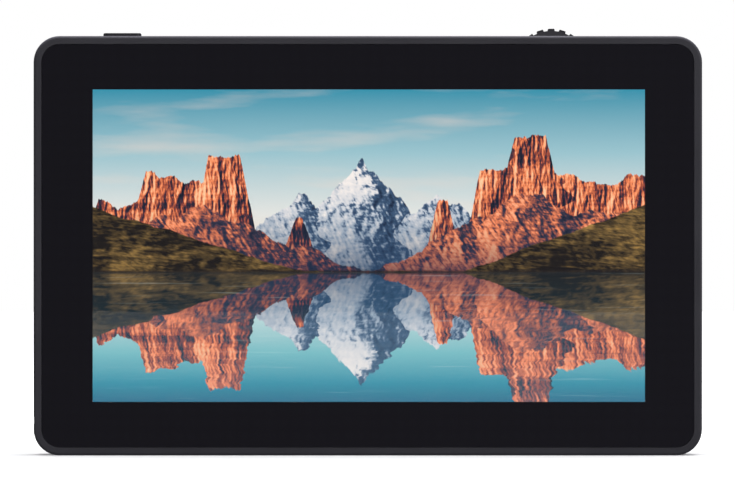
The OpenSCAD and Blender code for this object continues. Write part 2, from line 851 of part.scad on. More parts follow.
// Tongue of the rear cover that reaches into the front frame, with a sloping foot behind it
tongue_t = 0.9;
tongue_gap = 0.15;
tongue_out = corner_r - rim_w - tongue_gap;
tongue_in = tongue_out - tongue_t;
tongue_front = seam_y - 1.2;
tongue_root = seam_y + 1.1;
tongue_foot = tongue_root + corner_r - cover_wall - tongue_in;
key_x = side_x - key_in;
key_slot_w = key_w + 2 * key_gap;
key_slot_d = key_d + 2 * key_gap;
flange_w = key_slot_w + 2 * key_flange;
flange_d = key_slot_d + 2 * key_flange;
key_flange_t = 0.8;
// Radius of the button's ends, and of its slot's
key_end_r = 1.2;
// Depth of the button's middle: its flange just clears the foot of the rear cover's tongue
key_room = 0.15;
key_y = tongue_foot + flange_d / 2 + key_room;
key_seat = body_h - cover_wall - pilot_gap;
key_low = key_seat - key_flange_t;
// Top of the switch under the button, above the main board's edge
switch_over = 2;
switch_top = board_high + switch_over;
nib_h = 1.2;
nib_r = 1.1;

module power_button() {
    color(key_black) translate([-key_x, key_y, 0]) {
        intersection() {
            translate([0, 0, key_low]) linear_extrude(body_h + key_up - key_low)
                rounded(key_w, key_d, key_end_r);
            translate([0, key_d, 0]) rotate([90, 0, 0]) linear_extrude(2 * key_d)
                polygon(concat([[key_w / 2, key_low], [-key_w / 2, key_low]],
                    [for (s = [-1, 1]) each s < 0
                        ? arc([-key_w / 2 + key_round, body_h + key_up - key_round], key_round, 180, 90)
                        : arc([key_w / 2 - key_round, body_h + key_up - key_round], key_round, 90, 0)]));
        }
        translate([-flange_w / 2, -flange_d / 2, key_low])
            cube([flange_w, flange_d, key_flange_t]);
        stem_low = switch_top + nib_h + key_travel + pilot_gap;
        translate([0, 0, stem_low]) cylinder(r = nib_r, h = key_low + key_flange_t / 2 - stem_low);
    }
}

module power_switch() {
    switch_w = 6;
    switch_h = 6;
    color("#C8CACC") {
        translate([-key_x - switch_w / 2, board_back, switch_top - switch_h])
            cube([switch_w, key_y + key_d / 2 - board_back, switch_h]);
        translate([-key_x, key_y, switch_top]) cylinder(r = nib_r, h = nib_h);
    }
}

// ---------- toggle ----------

toggle_x = side_x - toggle_in;
tooth_step = 360 / tooth_turn;
// Half the arc of the toggle: its visible part, its turn and what stays hidden behind the slot
toggle_half = 50;
// How many degrees the web stops short of the arc's ends
web_short = 4;
fork_w = 2.2 * hub_r;
fork_floor = pivot_z - hub_r - hub_room;
fork_low = fork_floor - fork_base_t;
fork_half = toggle_d / 2 + cheek_gap + cheek_t;
// How far the cheeks reach above the axle
cheek_over = 1.1;
// Depth of the toggle's middle: its fork just clears the main board
toggle_y = board_back + fork_half + fork_gap;
block_high = fork_low - 2 * toggle_travel;
// Floor and play of the hole in which the stem runs
stem_floor = 1.6;
stem_play = 0.4;
block_h = stem_l + stem_play + stem_floor;

// Wedge about the pivot, half the given angle to each side of straight up
module wedge(half, reach) {
    polygon([[0, 0], [-reach * sin(half), reach * cos(half)], [-reach * sin(half), 2 * reach],
        [reach * sin(half), 2 * reach], [reach * sin(half), reach * cos(half)]]);
}

// One tooth, pointing up: a block whose flanks lean in a little and whose tip is bevelled
module tooth() {
    root = toggle_r - tooth_h;
    foot = tooth_share * 2 * PI * root / tooth_turn;
    tip = foot - tooth_h * tooth_taper;
    bite = tooth_h * 0.4;
    bevel = tooth_h * 0.15;
    polygon([[-foot / 2, root - bite], [foot / 2, root - bite], [foot / 2, root],
        [tip / 2, toggle_r - bevel], [tip / 2 - bevel, toggle_r],
        [-tip / 2 + bevel, toggle_r], [-tip / 2, toggle_r - bevel], [-foot / 2, root]]);
}

module toggle_knob() {
    root = toggle_r - tooth_h;
    side_teeth = floor((toggle_half - tooth_step / 4) / tooth_step);
    color(toggle_grey) translate([toggle_x, toggle_y, pivot_z]) difference() {
        union() {
            translate([0, toggle_d / 2, 0]) rotate([90, 0, 0]) linear_extrude(toggle_d) {
                difference() {
                    intersection() {
                        circle(root);
                        wedge(toggle_half, toggle_r);
                    }
                    circle(root - toggle_rim);
                }
                for (i = [-side_teeth:side_teeth]) rotate(i * tooth_step) tooth();
                circle(hub_r);
            }
            translate([0, toggle_web / 2, 0]) rotate([90, 0, 0]) linear_extrude(toggle_web)
                intersection() {
                    circle(root - toggle_rim / 2);
                    wedge(toggle_half - web_short, toggle_r);
                }
        }
        translate([0, toggle_d, 0]) rotate([90, 0, 0])
            cylinder(r = axle_r + axle_gap, h = 2 * toggle_d);
    }
}

module toggle_pin() {
    color("#B8BABD") translate([toggle_x, toggle_y + fork_half, pivot_z]) rotate([90, 0, 0])
        cylinder(r = axle_r, h = 2 * fork_half);
}

module toggle_carrier() {
    cheek_high = pivot_z + axle_r + cheek_over;
    color("#8E8E92") translate([toggle_x, toggle_y, 0]) {
        difference() {
            union() {
                for (s = [-1, 1]) translate([-fork_w / 2, s * (fork_half - cheek_t / 2) - cheek_t / 2,
                    fork_low]) cube([fork_w, cheek_t, cheek_high - fork_low]);
                translate([-fork_w / 2, -fork_half, fork_low])
                    cube([fork_w, 2 * fork_half, fork_floor - fork_low]);
                translate([-stem_w / 2, -stem_w / 2, fork_low - stem_l])
                    cube([stem_w, stem_w, stem_l + over]);
            }
            translate([0, fork_half + over, pivot_z]) rotate([90, 0, 0])
                cylinder(r = axle_r, h = 2 * (fork_half + over));
        }
    }
}

module toggle_switch_body() {
    block_w = 12;
    block_d = 2 * (toggle_y - board_back);
    deep_by = stem_l + stem_play;
    color("#C8CACC") translate([toggle_x, 0, 0]) difference() {
        translate([-block_w / 2, board_back, block_high - block_h]) cube([block_w, block_d, block_h]);
        translate([-stem_w / 2 - key_gap, toggle_y - stem_w / 2 - key_gap, block_high - deep_by])
            cube([stem_w + 2 * key_gap, stem_w + 2 * key_gap, deep_by + over]);
    }
}

// ---------- rear ----------

// Depth of the seats under the corner screws' heads: their tips end short of the ledge
screw_short = 0.7;
head_seat = ledge_y + ledge_t + screw_short + screw_l;
// Inner face of the cover's back, and where its slope's inner face lies: x + y = lean
inner_y = back_y - cover_wall;
lean = corner_r + slope_y - cover_wall * sqrt(2);
// Corner radius of the hole in the edge that is carried round, and how far the flat back laps into it
ring_r = 0.35;
ring_lap = 0.15;

module cover_profile() {
    inner = corner_r - cover_wall;
    turn = slope_round * tan(22.5);
    steps = 3;
    polygon(concat(
        [[tongue_out, tongue_front],
        [tongue_out, seam_y],
        [corner_r - seam_bevel, seam_y],
        [corner_r, seam_y + seam_bevel]],
        arc([corner_r - slope_round, slope_y - turn], slope_round, 0, 45, steps),
        arc([back_r - turn, back_y - slope_round], slope_round, 45, 90, steps),
        [[ring_r, back_y],
        [ring_r, inner_y],
        [lean - inner_y, inner_y],
        [inner, lean - inner],
        [inner, tongue_foot],
        [tongue_in, tongue_root],
        [tongue_in, tongue_front]]));
}

// Round openings in the right wall: [height, height of the jack's middle, radius of its nose]
right_ports = [
    [dc_in_z, jack_w, jack_r + nose_wall],
    [dc_out_z, jack_w, jack_r + nose_wall],
    [phone_z, phone_w, phone_r + nose_wall]];

module side_openings() {
    for (z = [hdmi_in_z, hdmi_out_z]) at_side(-1, z) translate([cover_wall, 0, 0])
        socket_shell(3 * cover_wall) hdmi_outline(port_gap);
    at_side(-1, usb_z) translate([-2 * cover_wall, usb_h / 2, 0])
        rotate([90, 0, 90]) linear_extrude(3 * cover_wall)
            rounded(usb_h + 2 * port_gap, usb_w + 2 * port_gap, usb_h / 2);
    for (p = right_ports) at_side(1, p[0])
        rod(-2 * cover_wall, cover_wall, p[1], p[2] + port_gap);
}

module vent_slots() {
    for (s = [-1, 1], i = [0:vent_n - 1])
        translate([s * vent_x, 0, mid_z + (i - (vent_n - 1) / 2) * vent_pitch])
            deep(back_y - 2 * cover_wall, 3 * cover_wall) {
                square([vent_l - vent_h, vent_h], center = true);
                for (e = [-1, 1]) translate([e * (vent_l - vent_h) / 2, 0]) circle(vent_h / 2);
            }
}

module rear_cover() {
    flat_r = ring_r + ring_lap;
    flat_in = corner_r - flat_r;
    block_top = insert_l + cover_wall;
    // The block round the insert starts inside the wall
    skin = cover_wall / 2;
    wire_w = 9;
    wire_h = 3;
    color(shell_grey) difference() {
        union() {
            carry(body_w, body_h, corner_r) cover_profile();
            plate(body_w - 2 * flat_in, body_h - 2 * flat_in, flat_r, inner_y, cover_wall);
            for (p = corner_screws) bar(p, chassis_back, inner_y - chassis_back, post_r);
            translate([-insert_block_w / 2, 0, 0]) rotate([90, 0, 90]) linear_extrude(insert_block_w)
                polygon([[seam_y, skin], [slope_y, skin], [inner_y, skin + inner_y - slope_y],
                    [inner_y, block_top], [seam_y, block_top]]);
        }
        // Corner screws: shaft holes and the wells of their heads
        for (p = corner_screws) {
            bar(p, chassis_back - over, body_d, screw_r + screw_play);
            bar(p, head_seat, body_d, head_r + screw_play);
        }
        // Tripod insert
        translate([0, 0, -over]) cylinder(r = insert_hole_r, h = insert_l + over + pilot_gap);
        // Slot of the power button
        translate([-key_x, key_y, body_h - 2 * cover_wall]) linear_extrude(3 * cover_wall)
            rounded(key_slot_w, key_slot_d, key_end_r + key_gap);
        // Slot of the toggle: a drum about its pivot
        translate([toggle_x, toggle_y + toggle_d / 2 + slot_gap, pivot_z]) rotate([90, 0, 0])
            cylinder(r = toggle_r + slot_gap, h = toggle_d + 2 * slot_gap);
        side_openings();
        vent_slots();
        for (p = plate_places) bar(p, inner_y - over, cover_wall + 2 * over, small_r + screw_play);
        // Passage of the battery wires
        translate([-wire_w / 2, inner_y - over, mid_z - plate_h / 2 + stop_t + wire_h])
            cube([wire_w, cover_wall + 2 * over, wire_h]);
    }
}

module cover_screws() {
    color("#1C1C1E") for (p = corner_screws) screw(p, head_seat, screw_l, screw_r, head_r, head_h);
}

module tripod_insert() {
    groove = 0.5;
    color("#B99A55") rotate_extrude() difference() {
        square([insert_r, insert_l]);
        square([2 * thread_r, 3 * insert_l], center = true);
        for (k = [0.3, 0.62]) translate([insert_r - groove, insert_l * k]) square([over, groove * 2]);
    }
}

// ---------- battery plate ----------

plate_low = mid_z - plate_h / 2;
plate_high = mid_z + plate_h / 2;
pack_low = plate_low + stop_t + contact_l;
pack_high = pack_low + pack_l;
latch_z = pack_high + pack_play + latch_h / 2;
latch_seat = floor_y - plate_wall - pilot_gap;
latch_edge = 1.2;

// One rail, cut across: its lip is left out where lip is false
module rail_profile(lip) {
    bevel = 0.8;
    lip_bevel = 0.3;
    outer = plate_w / 2;
    inner = bay_w / 2;
    top = floor_y + rail_h;
    reach = lip ? lip_w : 0;
    polygon([
        [outer, floor_y - plate_wall],
        [outer, top - bevel],
        [outer - bevel, top],
        [inner - reach + lip_bevel, top],
        [inner - reach, top - lip_bevel],
        [inner - reach, top - lip_t],
        [inner, top - lip_t],
        [inner, floor_y - plate_wall]]);
}

module battery_plate() {
    rail_low = plate_low + stop_t;
    rail_l = pack_high - rail_low;
    boss = 2.6;
    lip_start = 1;
    color("#202022") difference() {
        union() {
            difference() {
                plate(plate_w, plate_h, plate_r, back_y, plate_d);
                plate(plate_w - 2 * plate_wall, plate_h - 2 * plate_wall, plate_r - plate_wall / 2,
                    back_y - over, plate_d - plate_wall + over);
            }
            intersection() {
                union() {
                    for (s = [0, 1]) mirror([s, 0, 0]) {
                        translate([0, 0, plate_low]) linear_extrude(rail_l + stop_t) rail_profile(false);
                        for (z = [pack_low + lip_start, pack_high - lip_l]) translate([0, 0, z])
                            linear_extrude(lip_l) rail_profile(true);
                    }
                    translate([-bay_w / 2 - over, floor_y - plate_wall, plate_low])
                        cube([bay_w + 2 * over, plate_wall + rail_h, stop_t]);
                }
                plate(plate_w, plate_h, plate_r, back_y, 2 * plate_d + rail_h);
            }
            for (p = plate_places) bar(p, back_y, plate_d - plate_wall / 2, boss);
        }
        for (p = plate_places) bar(p, back_y - over, plate_d - plate_wall + over, small_r + pilot_gap);
        // Passage of the release
        translate([-latch_w / 2 - latch_gap, back_y, latch_z - latch_h / 2 - latch_gap])
            cube([latch_w + 2 * latch_gap, body_d, latch_h + 2 * latch_gap]);
    }
}

module plate_screws() {
    seat = back_y - cover_wall;
    tip_gap = 0.4;
    length = cover_wall + plate_d - plate_wall - tip_gap;
    color("#7C7E82") for (p = plate_places) mirror([0, 1, 0]) translate([0, -2 * seat, 0])
        screw(p, seat, length, small_r, small_head_r, small_head_h);
}

blade_places = [for (i = [-1.5:1:1.5]) i * contact_w / 4.3];
blade_y = floor_y + contact_h / 2 - blade_w / 2;
blade_low = plate_low + stop_t + 1;

module contact_block() {
    color("#2A2A2C") difference() {
        translate([-contact_w / 2, floor_y, plate_low + stop_t]) cube([contact_w, contact_h, contact_l]);
        for (x = blade_places)
            translate([x - blade_t / 2 - pilot_gap, blade_y - pilot_gap, blade_low])
                cube([blade_t + 2 * pilot_gap, blade_w + 2 * pilot_gap, contact_l]);
    }
}

module battery_contacts() {
    color("#C9A24A") for (x = blade_places)
        translate([x - blade_t / 2, blade_y, blade_low])
            cube([blade_t, blade_w, plate_low + stop_t + contact_l - blade_low + blade_out]);
}

module battery_latch() {
    nose = latch_up * 0.75;
    half = latch_h / 2;
    top = floor_y + latch_up;
    color("#3A3A3D") {
        translate([-latch_w / 2, 0, latch_z]) rotate([90, 0, 90]) linear_extrude(latch_w)
            polygon([[latch_seat - latch_flange / 2, -half], [top, -half],
                [top, half - nose], [top - nose, half], [latch_seat - latch_flange / 2, half]]);
        translate([-latch_w / 2 - latch_edge, latch_seat - latch_flange, latch_z - half - latch_edge / 2])
            cube([latch_w + 2 * latch_edge, latch_flange, latch_h + latch_edge]);
    }
}

// A wire wound into a helix along the depth: rings of points joined by a mesh
module latch_spring() {
    sides = 6;
    per_turn = 16;
    steps = per_turn * spring_n;
    low = back_y + wire_d / 2 + pilot_gap;
    high = latch_seat - latch_flange - wire_d / 2 - pilot_gap;
    points = [for (i = [0:steps], k = [0:sides - 1])
        let (a = 360 * i / per_turn, b = 360 * k / sides, r = spring_r + wire_d / 2 * cos(b))
        [r * cos(a), low + (high - low) * i / steps + wire_d / 2 * sin(b), latch_z + r * sin(a)]];
    body = [for (i = [0:steps - 1], k = [0:sides - 1])
        let (j = (k + 1) % sides, n = sides * i)
        [n + k, n + sides + k, n + sides + j, n + j]];
    ends = [[for (k = [0:sides - 1]) k], [for (k = [sides - 1:-1:0]) sides * steps + k]];
    color("#B8BABD") polyhedron(points, concat(body, ends));
}

front_frame();
cover_glass();
border_film();
touch_sensor();
lcd_gasket();
lcd_cell();
backlight_frame();
diffuser_sheet();
light_guide();
reflector_sheet();
led_strip();
chassis_plate();
chassis_screws();
lcd_flex();
touch_flex();
main_board();
board_screws();
video_chip();
thermal_pad();
heat_sink();
power_inductors();
capacitors();
board_connectors();
hdmi_in_socket();
hdmi_out_socket();
usb_port();
port_tongues();
dc_in_jack();
dc_out_jack();
dc_pins();
earphone_jack();
power_button();
power_switch();
toggle_knob();
toggle_pin();
toggle_carrier();
toggle_switch_body();
rear_cover();
cover_screws();
tripod_insert();
battery_plate();
plate_screws();
contact_block();
battery_contacts();
battery_latch();
latch_spring();
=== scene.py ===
# %% [markdown]
# A slim field monitor, dressed for its picture. The construction comes packed as a fixed frame: every
# casing, socket, screw and sheet is already there at its real size. This lesson gives each of them the
# surface that the real one has, adds the few shapes that are too fine for the frame, and lights the
# whole thing the way a maker photographs it: straight on, on white.

# %% Load the frame and keep its size
import json
import math

import bmesh
import bpy
import numpy as np
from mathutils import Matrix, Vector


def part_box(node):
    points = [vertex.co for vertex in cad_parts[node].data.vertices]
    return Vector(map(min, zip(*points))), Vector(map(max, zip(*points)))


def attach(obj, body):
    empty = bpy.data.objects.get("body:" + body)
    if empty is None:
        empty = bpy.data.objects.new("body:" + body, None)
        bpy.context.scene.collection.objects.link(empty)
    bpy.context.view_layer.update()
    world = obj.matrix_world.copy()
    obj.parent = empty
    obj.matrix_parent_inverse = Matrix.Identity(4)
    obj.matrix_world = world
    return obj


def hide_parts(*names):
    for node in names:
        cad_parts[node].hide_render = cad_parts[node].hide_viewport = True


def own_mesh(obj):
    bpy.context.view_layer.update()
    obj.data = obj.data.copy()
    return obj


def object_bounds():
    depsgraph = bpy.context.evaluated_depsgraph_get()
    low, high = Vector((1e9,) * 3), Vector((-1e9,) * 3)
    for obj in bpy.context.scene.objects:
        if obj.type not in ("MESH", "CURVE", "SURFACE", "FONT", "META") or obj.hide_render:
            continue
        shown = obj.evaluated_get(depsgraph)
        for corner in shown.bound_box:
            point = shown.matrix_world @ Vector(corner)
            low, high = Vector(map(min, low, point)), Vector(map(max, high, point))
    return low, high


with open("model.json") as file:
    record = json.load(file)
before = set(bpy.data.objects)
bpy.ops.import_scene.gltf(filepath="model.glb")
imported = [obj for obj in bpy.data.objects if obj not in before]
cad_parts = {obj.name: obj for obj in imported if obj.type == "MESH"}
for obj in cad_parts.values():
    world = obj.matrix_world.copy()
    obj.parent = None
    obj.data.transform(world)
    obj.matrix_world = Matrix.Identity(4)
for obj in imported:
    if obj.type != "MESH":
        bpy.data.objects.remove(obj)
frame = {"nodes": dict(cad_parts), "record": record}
nodes = frame["nodes"]
MM = 0.001


def corners(box):
    """A box's lowest and highest corners as two plain lists of numbers."""
    return [[float(value) for value in corner] for corner in box]


cad_box = corners(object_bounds())
print("pieces in the frame:", len(nodes), "box in metres:", cad_box)

# %% [markdown]
# Colours are picked as sRGB hex values, the kind that any paint tool shows. A renderer counts
# light itself, which is not how sRGB counts: the curve below is the standard one from sRGB to linear.

# %% One function for colour
def linear(colour):
    """The linear red, green, blue and full alpha of an sRGB hex colour: a straight piece near black,
    then ((c + 0.055) / 1.055) to the power 2.4."""
    channels = [int(colour[i:i + 2], 16) / 255 for i in (1, 3, 5)]
    return [c / 12.92 if c <= 0.04045 else ((c + 0.055) / 1.055) ** 2.4 for c in channels] + [1.0]


print("mid grey in linear light:", [round(c, 3) for c in linear("#808080")])

# %% [markdown]
# A material is a small network of nodes. One helper adds a node with its settings and links its
# inputs, so each recipe further down reads as a list of what it mixes. A second helper starts a
# material: a Principled shader, and the piece's own coordinates in metres to lay patterns on. A third
# wires the patterns to the shader at the end.

# %% Helpers for materials
def live(sockets, key):
    """The socket of that name, or of that number, among those that the node uses at its settings."""
    if isinstance(key, str):
        return next(s for s in sockets if s.enabled and s.name == key)
    return [s for s in sockets if s.enabled][key]


def add(tree, kind, inputs=(), stops=(), **settings):
    """Adds one node. Settings come first, then the stops of a colour ramp, its two ends before those
    between, and then the inputs: each is a value, a hex colour, or the node or socket that it is
    linked from."""
    node = tree.nodes.new("ShaderNode" + kind)
    for name, value in settings.items():
        setattr(node, name, value)
    for i, (place, colour) in enumerate(stops):
        elements = node.color_ramp.elements
        element = elements[i] if i < 2 else elements.new(place)
        element.position = place
        element.color = linear(colour)
    for key, value in dict(inputs).items():
        socket = live(node.inputs, key)
        if isinstance(value, bpy.types.Node):
            value = live(value.outputs, 0)
        if isinstance(value, bpy.types.NodeSocket):
            tree.links.new(value, socket)
        else:
            socket.default_value = linear(value) if isinstance(value, str) else value
    return node


def start(name, **sockets):
    """A new material with a Principled shader. Keywords set the shader's own sockets, with _ for a
    space. Returns the material, its tree, the shader and the piece's coordinates."""
    material = bpy.data.materials.new(name)
    material.use_nodes = True
    tree = material.node_tree
    shader = tree.nodes["Principled BSDF"]
    for key, value in sockets.items():
        shader.inputs[key.replace("_", " ")].default_value = (
            linear(value) if isinstance(value, str) else value)
    place = add(tree, "TexCoord").outputs["Object"]
    return material, tree, shader, place


def dress(tree, shader, colour=None, tone=None, rough=None, height=None, depth=0.0, strength=1.0):
    """Wires a shader. Its base colour becomes the colour times the tone, its roughness follows rough,
    and its bump follows the height, which is that many metres deep."""
    if tone is not None:
        tinted = add(tree, "Mix", {"Factor": 1.0, "A": colour, "B": tone},
                     data_type="RGBA", blend_type="MULTIPLY")
        tree.links.new(live(tinted.outputs, 0), shader.inputs["Base Color"])
    if rough is not None:
        tree.links.new(live(rough.outputs, 0), shader.inputs["Roughness"])
    if height is not None:
        bump = add(tree, "Bump", {"Height": height, "Distance": depth, "Strength": strength})
        tree.links.new(bump.outputs["Normal"], shader.inputs["Normal"])


print("helpers ready")

# %% [markdown]
# The photograph looks straight at the glass with no visible perspective, so the camera stands two
# metres away with a long lens. Its picture is 735 pixels wide, and the housing covers 668.4 of them.
# The housing's width is known from the frame, so one pixel at the front face has a known size, and
# that alone fixes the lens. The housing sits a little low in the picture, which fixes the height.

# %% Camera
# Pixels of the photograph: its size, and the edges of the housing in it
PHOTO_W, PHOTO_H = 735, 480
BODY_LEFT, BODY_RIGHT = 33.5, 702.2
BODY_TOP, BODY_BOTTOM = 36.2, 455.2
CAMERA_AWAY = 2.0
SENSOR = 36.0

front_low, front_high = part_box("front_frame")
pixel = (front_high.x - front_low.x) / (BODY_RIGHT - BODY_LEFT)
aim_x = (PHOTO_W / 2 - (BODY_LEFT + BODY_RIGHT) / 2) * pixel
aim_z = (front_low.z + front_high.z) / 2 + ((BODY_TOP + BODY_BOTTOM) / 2 - PHOTO_H / 2) * pixel

camera_data = bpy.data.cameras.new("camera")
camera_data.sensor_fit = "HORIZONTAL"
camera_data.sensor_width = SENSOR
camera_data.lens = SENSOR * CAMERA_AWAY / (PHOTO_W * pixel)
camera_data.clip_end = 50
camera = bpy.data.objects.new("camera", camera_data)
camera.location = (aim_x, front_low.y - CAMERA_AWAY, aim_z)
camera.rotation_euler = (math.radians(90), 0, 0)
bpy.context.scene.collection.objects.link(camera)
bpy.context.scene.camera = camera
bpy.context.scene.view_settings.view_transform = "Standard"
print("one pixel in mm:", round(pixel / MM, 4), "lens in mm:", round(camera_data.lens, 1))

# %% [markdown]
# Product photographers keep the side that a glass front mirrors dark, and everything else white. The
# world does both here. The camera, and rays that pass through clear parts to the back, see plain
# white. Diffuse light comes evenly from all sides. A mirrored ray is told where it looks: dim towards
# the side of the camera, a quiet grey elsewhere that is darkest to the left, and brighter overhead. It
# is a little violet, as the black of the border is. A ray that leaves clear parts to the front has been
# mirrored by the back of the glass. The real glass is bonded there, so that ray sees black.

# %% World
# Levels of light: for diffuse rays, and for mirrored rays by where they look
FILL = 0.66
MIRRORED_FRONT, MIRRORED_REST, MIRRORED_TOP = 0.33, 0.30, 1.7
MIRRORED_LEFT, MIRRORED_RIGHT = 0.25, 1.5

world = bpy.data.worlds.new("studio")
bpy.context.scene.world = world
world.use_nodes = True
air = world.node_tree
air.nodes.clear()
path = add(air, "LightPath")
toward = add(air, "SeparateXYZ", {0: add(air, "TexCoord").outputs["Generated"]})
# The spans below are parts of a direction, which run from -1 to 1
behind = add(air, "MapRange", {"Value": toward.outputs["Y"], "From Min": -0.75, "From Max": 0.1,
                               "To Min": MIRRORED_FRONT, "To Max": MIRRORED_REST})
sides = add(air, "MapRange", {"Value": toward.outputs["X"], "From Min": -0.8, "From Max": 0.8,
                              "To Min": MIRRORED_LEFT, "To Max": MIRRORED_RIGHT})
around = add(air, "Math", {0: behind, 1: sides}, operation="MULTIPLY")
overhead = add(air, "MapRange", {"Value": toward.outputs["Z"], "From Min": 0.2, "From Max": 0.9,
                                 "To Min": 0.0, "To Max": MIRRORED_TOP})
mirrored = add(air, "Math", {0: around, 1: overhead}, operation="ADD")
to_back = add(air, "Math", {0: toward.outputs["Y"], 1: 0.0}, operation="GREATER_THAN")
through = add(air, "Math", {0: path.outputs["Is Transmission Ray"], 1: to_back}, operation="MULTIPLY")
plain = add(air, "Math", {0: path.outputs["Is Camera Ray"], 1: through}, operation="MAXIMUM")
bonded = add(air, "Math", {0: 1.0, 1: path.outputs["Is Transmission Ray"]}, operation="SUBTRACT")
seen_level = add(air, "Math", {0: mirrored, 1: bonded}, operation="MULTIPLY")
dim = add(air, "Mix", {"Factor": path.outputs["Is Glossy Ray"], "A": FILL, "B": seen_level},
          data_type="FLOAT")
level = add(air, "Mix", {"Factor": plain, "A": dim, "B": 1.0}, data_type="FLOAT")
tint = add(air, "Mix", {"Factor": path.outputs["Is Glossy Ray"], "A": "#FFFFFF", "B": "#E8E2FF"},
           data_type="RGBA")
glow = add(air, "Background", {"Color": tint, "Strength": level})
add(air, "OutputWorld", {"Surface": glow})
print("world: white to the camera, fill", FILL)

# %% [markdown]
# Four soft lamps shape the object. A wide panel overhead draws the thin bright line along the top of
# the rim. One panel hangs high in front and one stands to the right, both far enough from the camera
# that the glass never mirrors them into it. A last one lights the back. Their power is set so that a
# colour that faces the camera renders about as it is written.

# %% Lamps
def soft_panel(name, place, aim, size, power):
    """A square lamp of that size in metres, turned from its place to face the aim."""
    data = bpy.data.lights.new(name, "AREA")
    data.shape = "SQUARE"
    data.size = size
    data.energy = power
    lamp = bpy.data.objects.new(name, data)
    lamp.location = place
    away = np.array(place) - np.array(aim)
    flat = math.hypot(away[0], away[1])
    lamp.rotation_euler = (math.atan2(flat, away[2]), 0, math.atan2(away[0], -away[1]))
    bpy.context.scene.collection.objects.link(lamp)
    return lamp


middle = (0.0, 0.0, (front_low.z + front_high.z) / 2)
soft_panel("panel_overhead", (0.10, 0.05, 0.95), middle, 0.8, 5.0)
soft_panel("panel_front", (-0.05, -1.15, 1.00), middle, 0.6, 5.0)
soft_panel("panel_right", (1.05, -1.05, 0.45), middle, 0.6, 3.4)
soft_panel("panel_behind", (0.45, 1.30, 0.85), middle, 0.8, 7.0)
print("lamps:", len(bpy.data.lights))

# %% [markdown]
# The floor is plain and pale. Near the housing it only shows the light that falls on it, and so the
# shadow there. Further off it gets light of its own for the camera, more with the distance, so that
# it runs into the white background without a line.

# %% Floor
FLOOR_HALF = 4.0
FLOOR_DROP = 0.02 * MM
LIFT_NEAR, LIFT_FAR = 0.12, 0.8
LIFT_FROM, LIFT_TO = 0.03, 0.30

floor_mesh = bpy.data.meshes.new("floor")
floor_z = cad_box[0][2] - FLOOR_DROP
floor_corners = [(x * FLOOR_HALF, y * FLOOR_HALF, floor_z) for x, y in ((-1, -1), (1, -1), (1, 1), (-1, 1))]
floor_mesh.from_pydata(floor_corners, [], [(0, 1, 2, 3)])
floor = bpy.data.objects.new("floor", floor_mesh)
bpy.context.scene.collection.objects.link(floor)
floor.visible_glossy = False

paper, tree, shader, place = start("matte_white_paper", Base_Color="#F0F0F0", Roughness=0.9)
fibre = add(tree, "TexNoise", {"Vector": place, "Scale": 1 / (2 * MM), "Detail": 3.0})
dress(tree, shader, rough=add(tree, "MapRange", {"Value": fibre, "To Min": 0.85, "To Max": 0.95}))
seen = add(tree, "LightPath").outputs["Is Camera Ray"]
oval = add(tree, "Mapping", {"Vector": place, "Scale": (0.45, 1.0, 1.0)})
away = add(tree, "VectorMath", {0: oval}, operation="LENGTH")
share = add(tree, "MapRange", {"Value": live(away.outputs, "Value"),
                               "From Min": LIFT_FROM, "From Max": LIFT_TO,
                               "To Min": LIFT_NEAR, "To Max": LIFT_FAR}, interpolation_type="SMOOTHSTEP")
lift = add(tree, "Math", {0: seen, 1: share}, operation="MULTIPLY")
shader.inputs["Emission Color"].default_value = linear("#FFFFFF")
tree.links.new(lift.outputs[0], shader.inputs["Emission Strength"])
floor_mesh.materials.append(paper)
print("floor at z =", round(cad_box[0][2], 5))

# %% [markdown]
# Most of the monitor is moulded plastic. The steel mould is etched by sparks, which leaves a fine
# grain on every part that comes out of it. The real grain is about 0.1 mm; it is drawn four times
# as coarse here, or it would vanish between two pixels. A second, wider pattern lets the gloss and
# the tone wander a little, the way that hands and dust leave a used housing.

# %% Moulded plastics
def moulded(name, colour, roughness, grain=0.4 * MM, depth=0.035 * MM, mottle=0.07):
    """A moulded plastic: bump from a noise of the grain's size. The tone is the colour times 1 plus or
    minus the mottle, once from that noise and once from a noise 40 times as wide, which also moves the
    roughness by 0.05 either way."""
    material, tree, shader, place = start(name, Roughness=roughness, IOR=1.5)
    fine = add(tree, "TexNoise", {"Vector": place, "Scale": 1 / grain, "Detail": 2.0})
    wide = add(tree, "TexNoise", {"Vector": place, "Scale": 1 / (40 * grain), "Detail": 4.0})
    tone = add(tree, "MapRange", {"Value": wide, "From Min": 0.3, "From Max": 0.7,
                                  "To Min": 1 - mottle, "To Max": 1 + mottle})
    grain_tone = add(tree, "MapRange", {"Value": fine, "From Min": 0.25, "From Max": 0.75,
                                        "To Min": 1 - mottle, "To Max": 1 + mottle})
    both = add(tree, "Math", {0: tone, 1: grain_tone}, operation="MULTIPLY")
    rough = add(tree, "MapRange", {"Value": wide, "From Min": 0.3, "From Max": 0.7,
                                   "To Min": roughness - 0.05, "To Max": roughness + 0.05})
    dress(tree, shader, colour, both, rough, fine, depth)
    return material


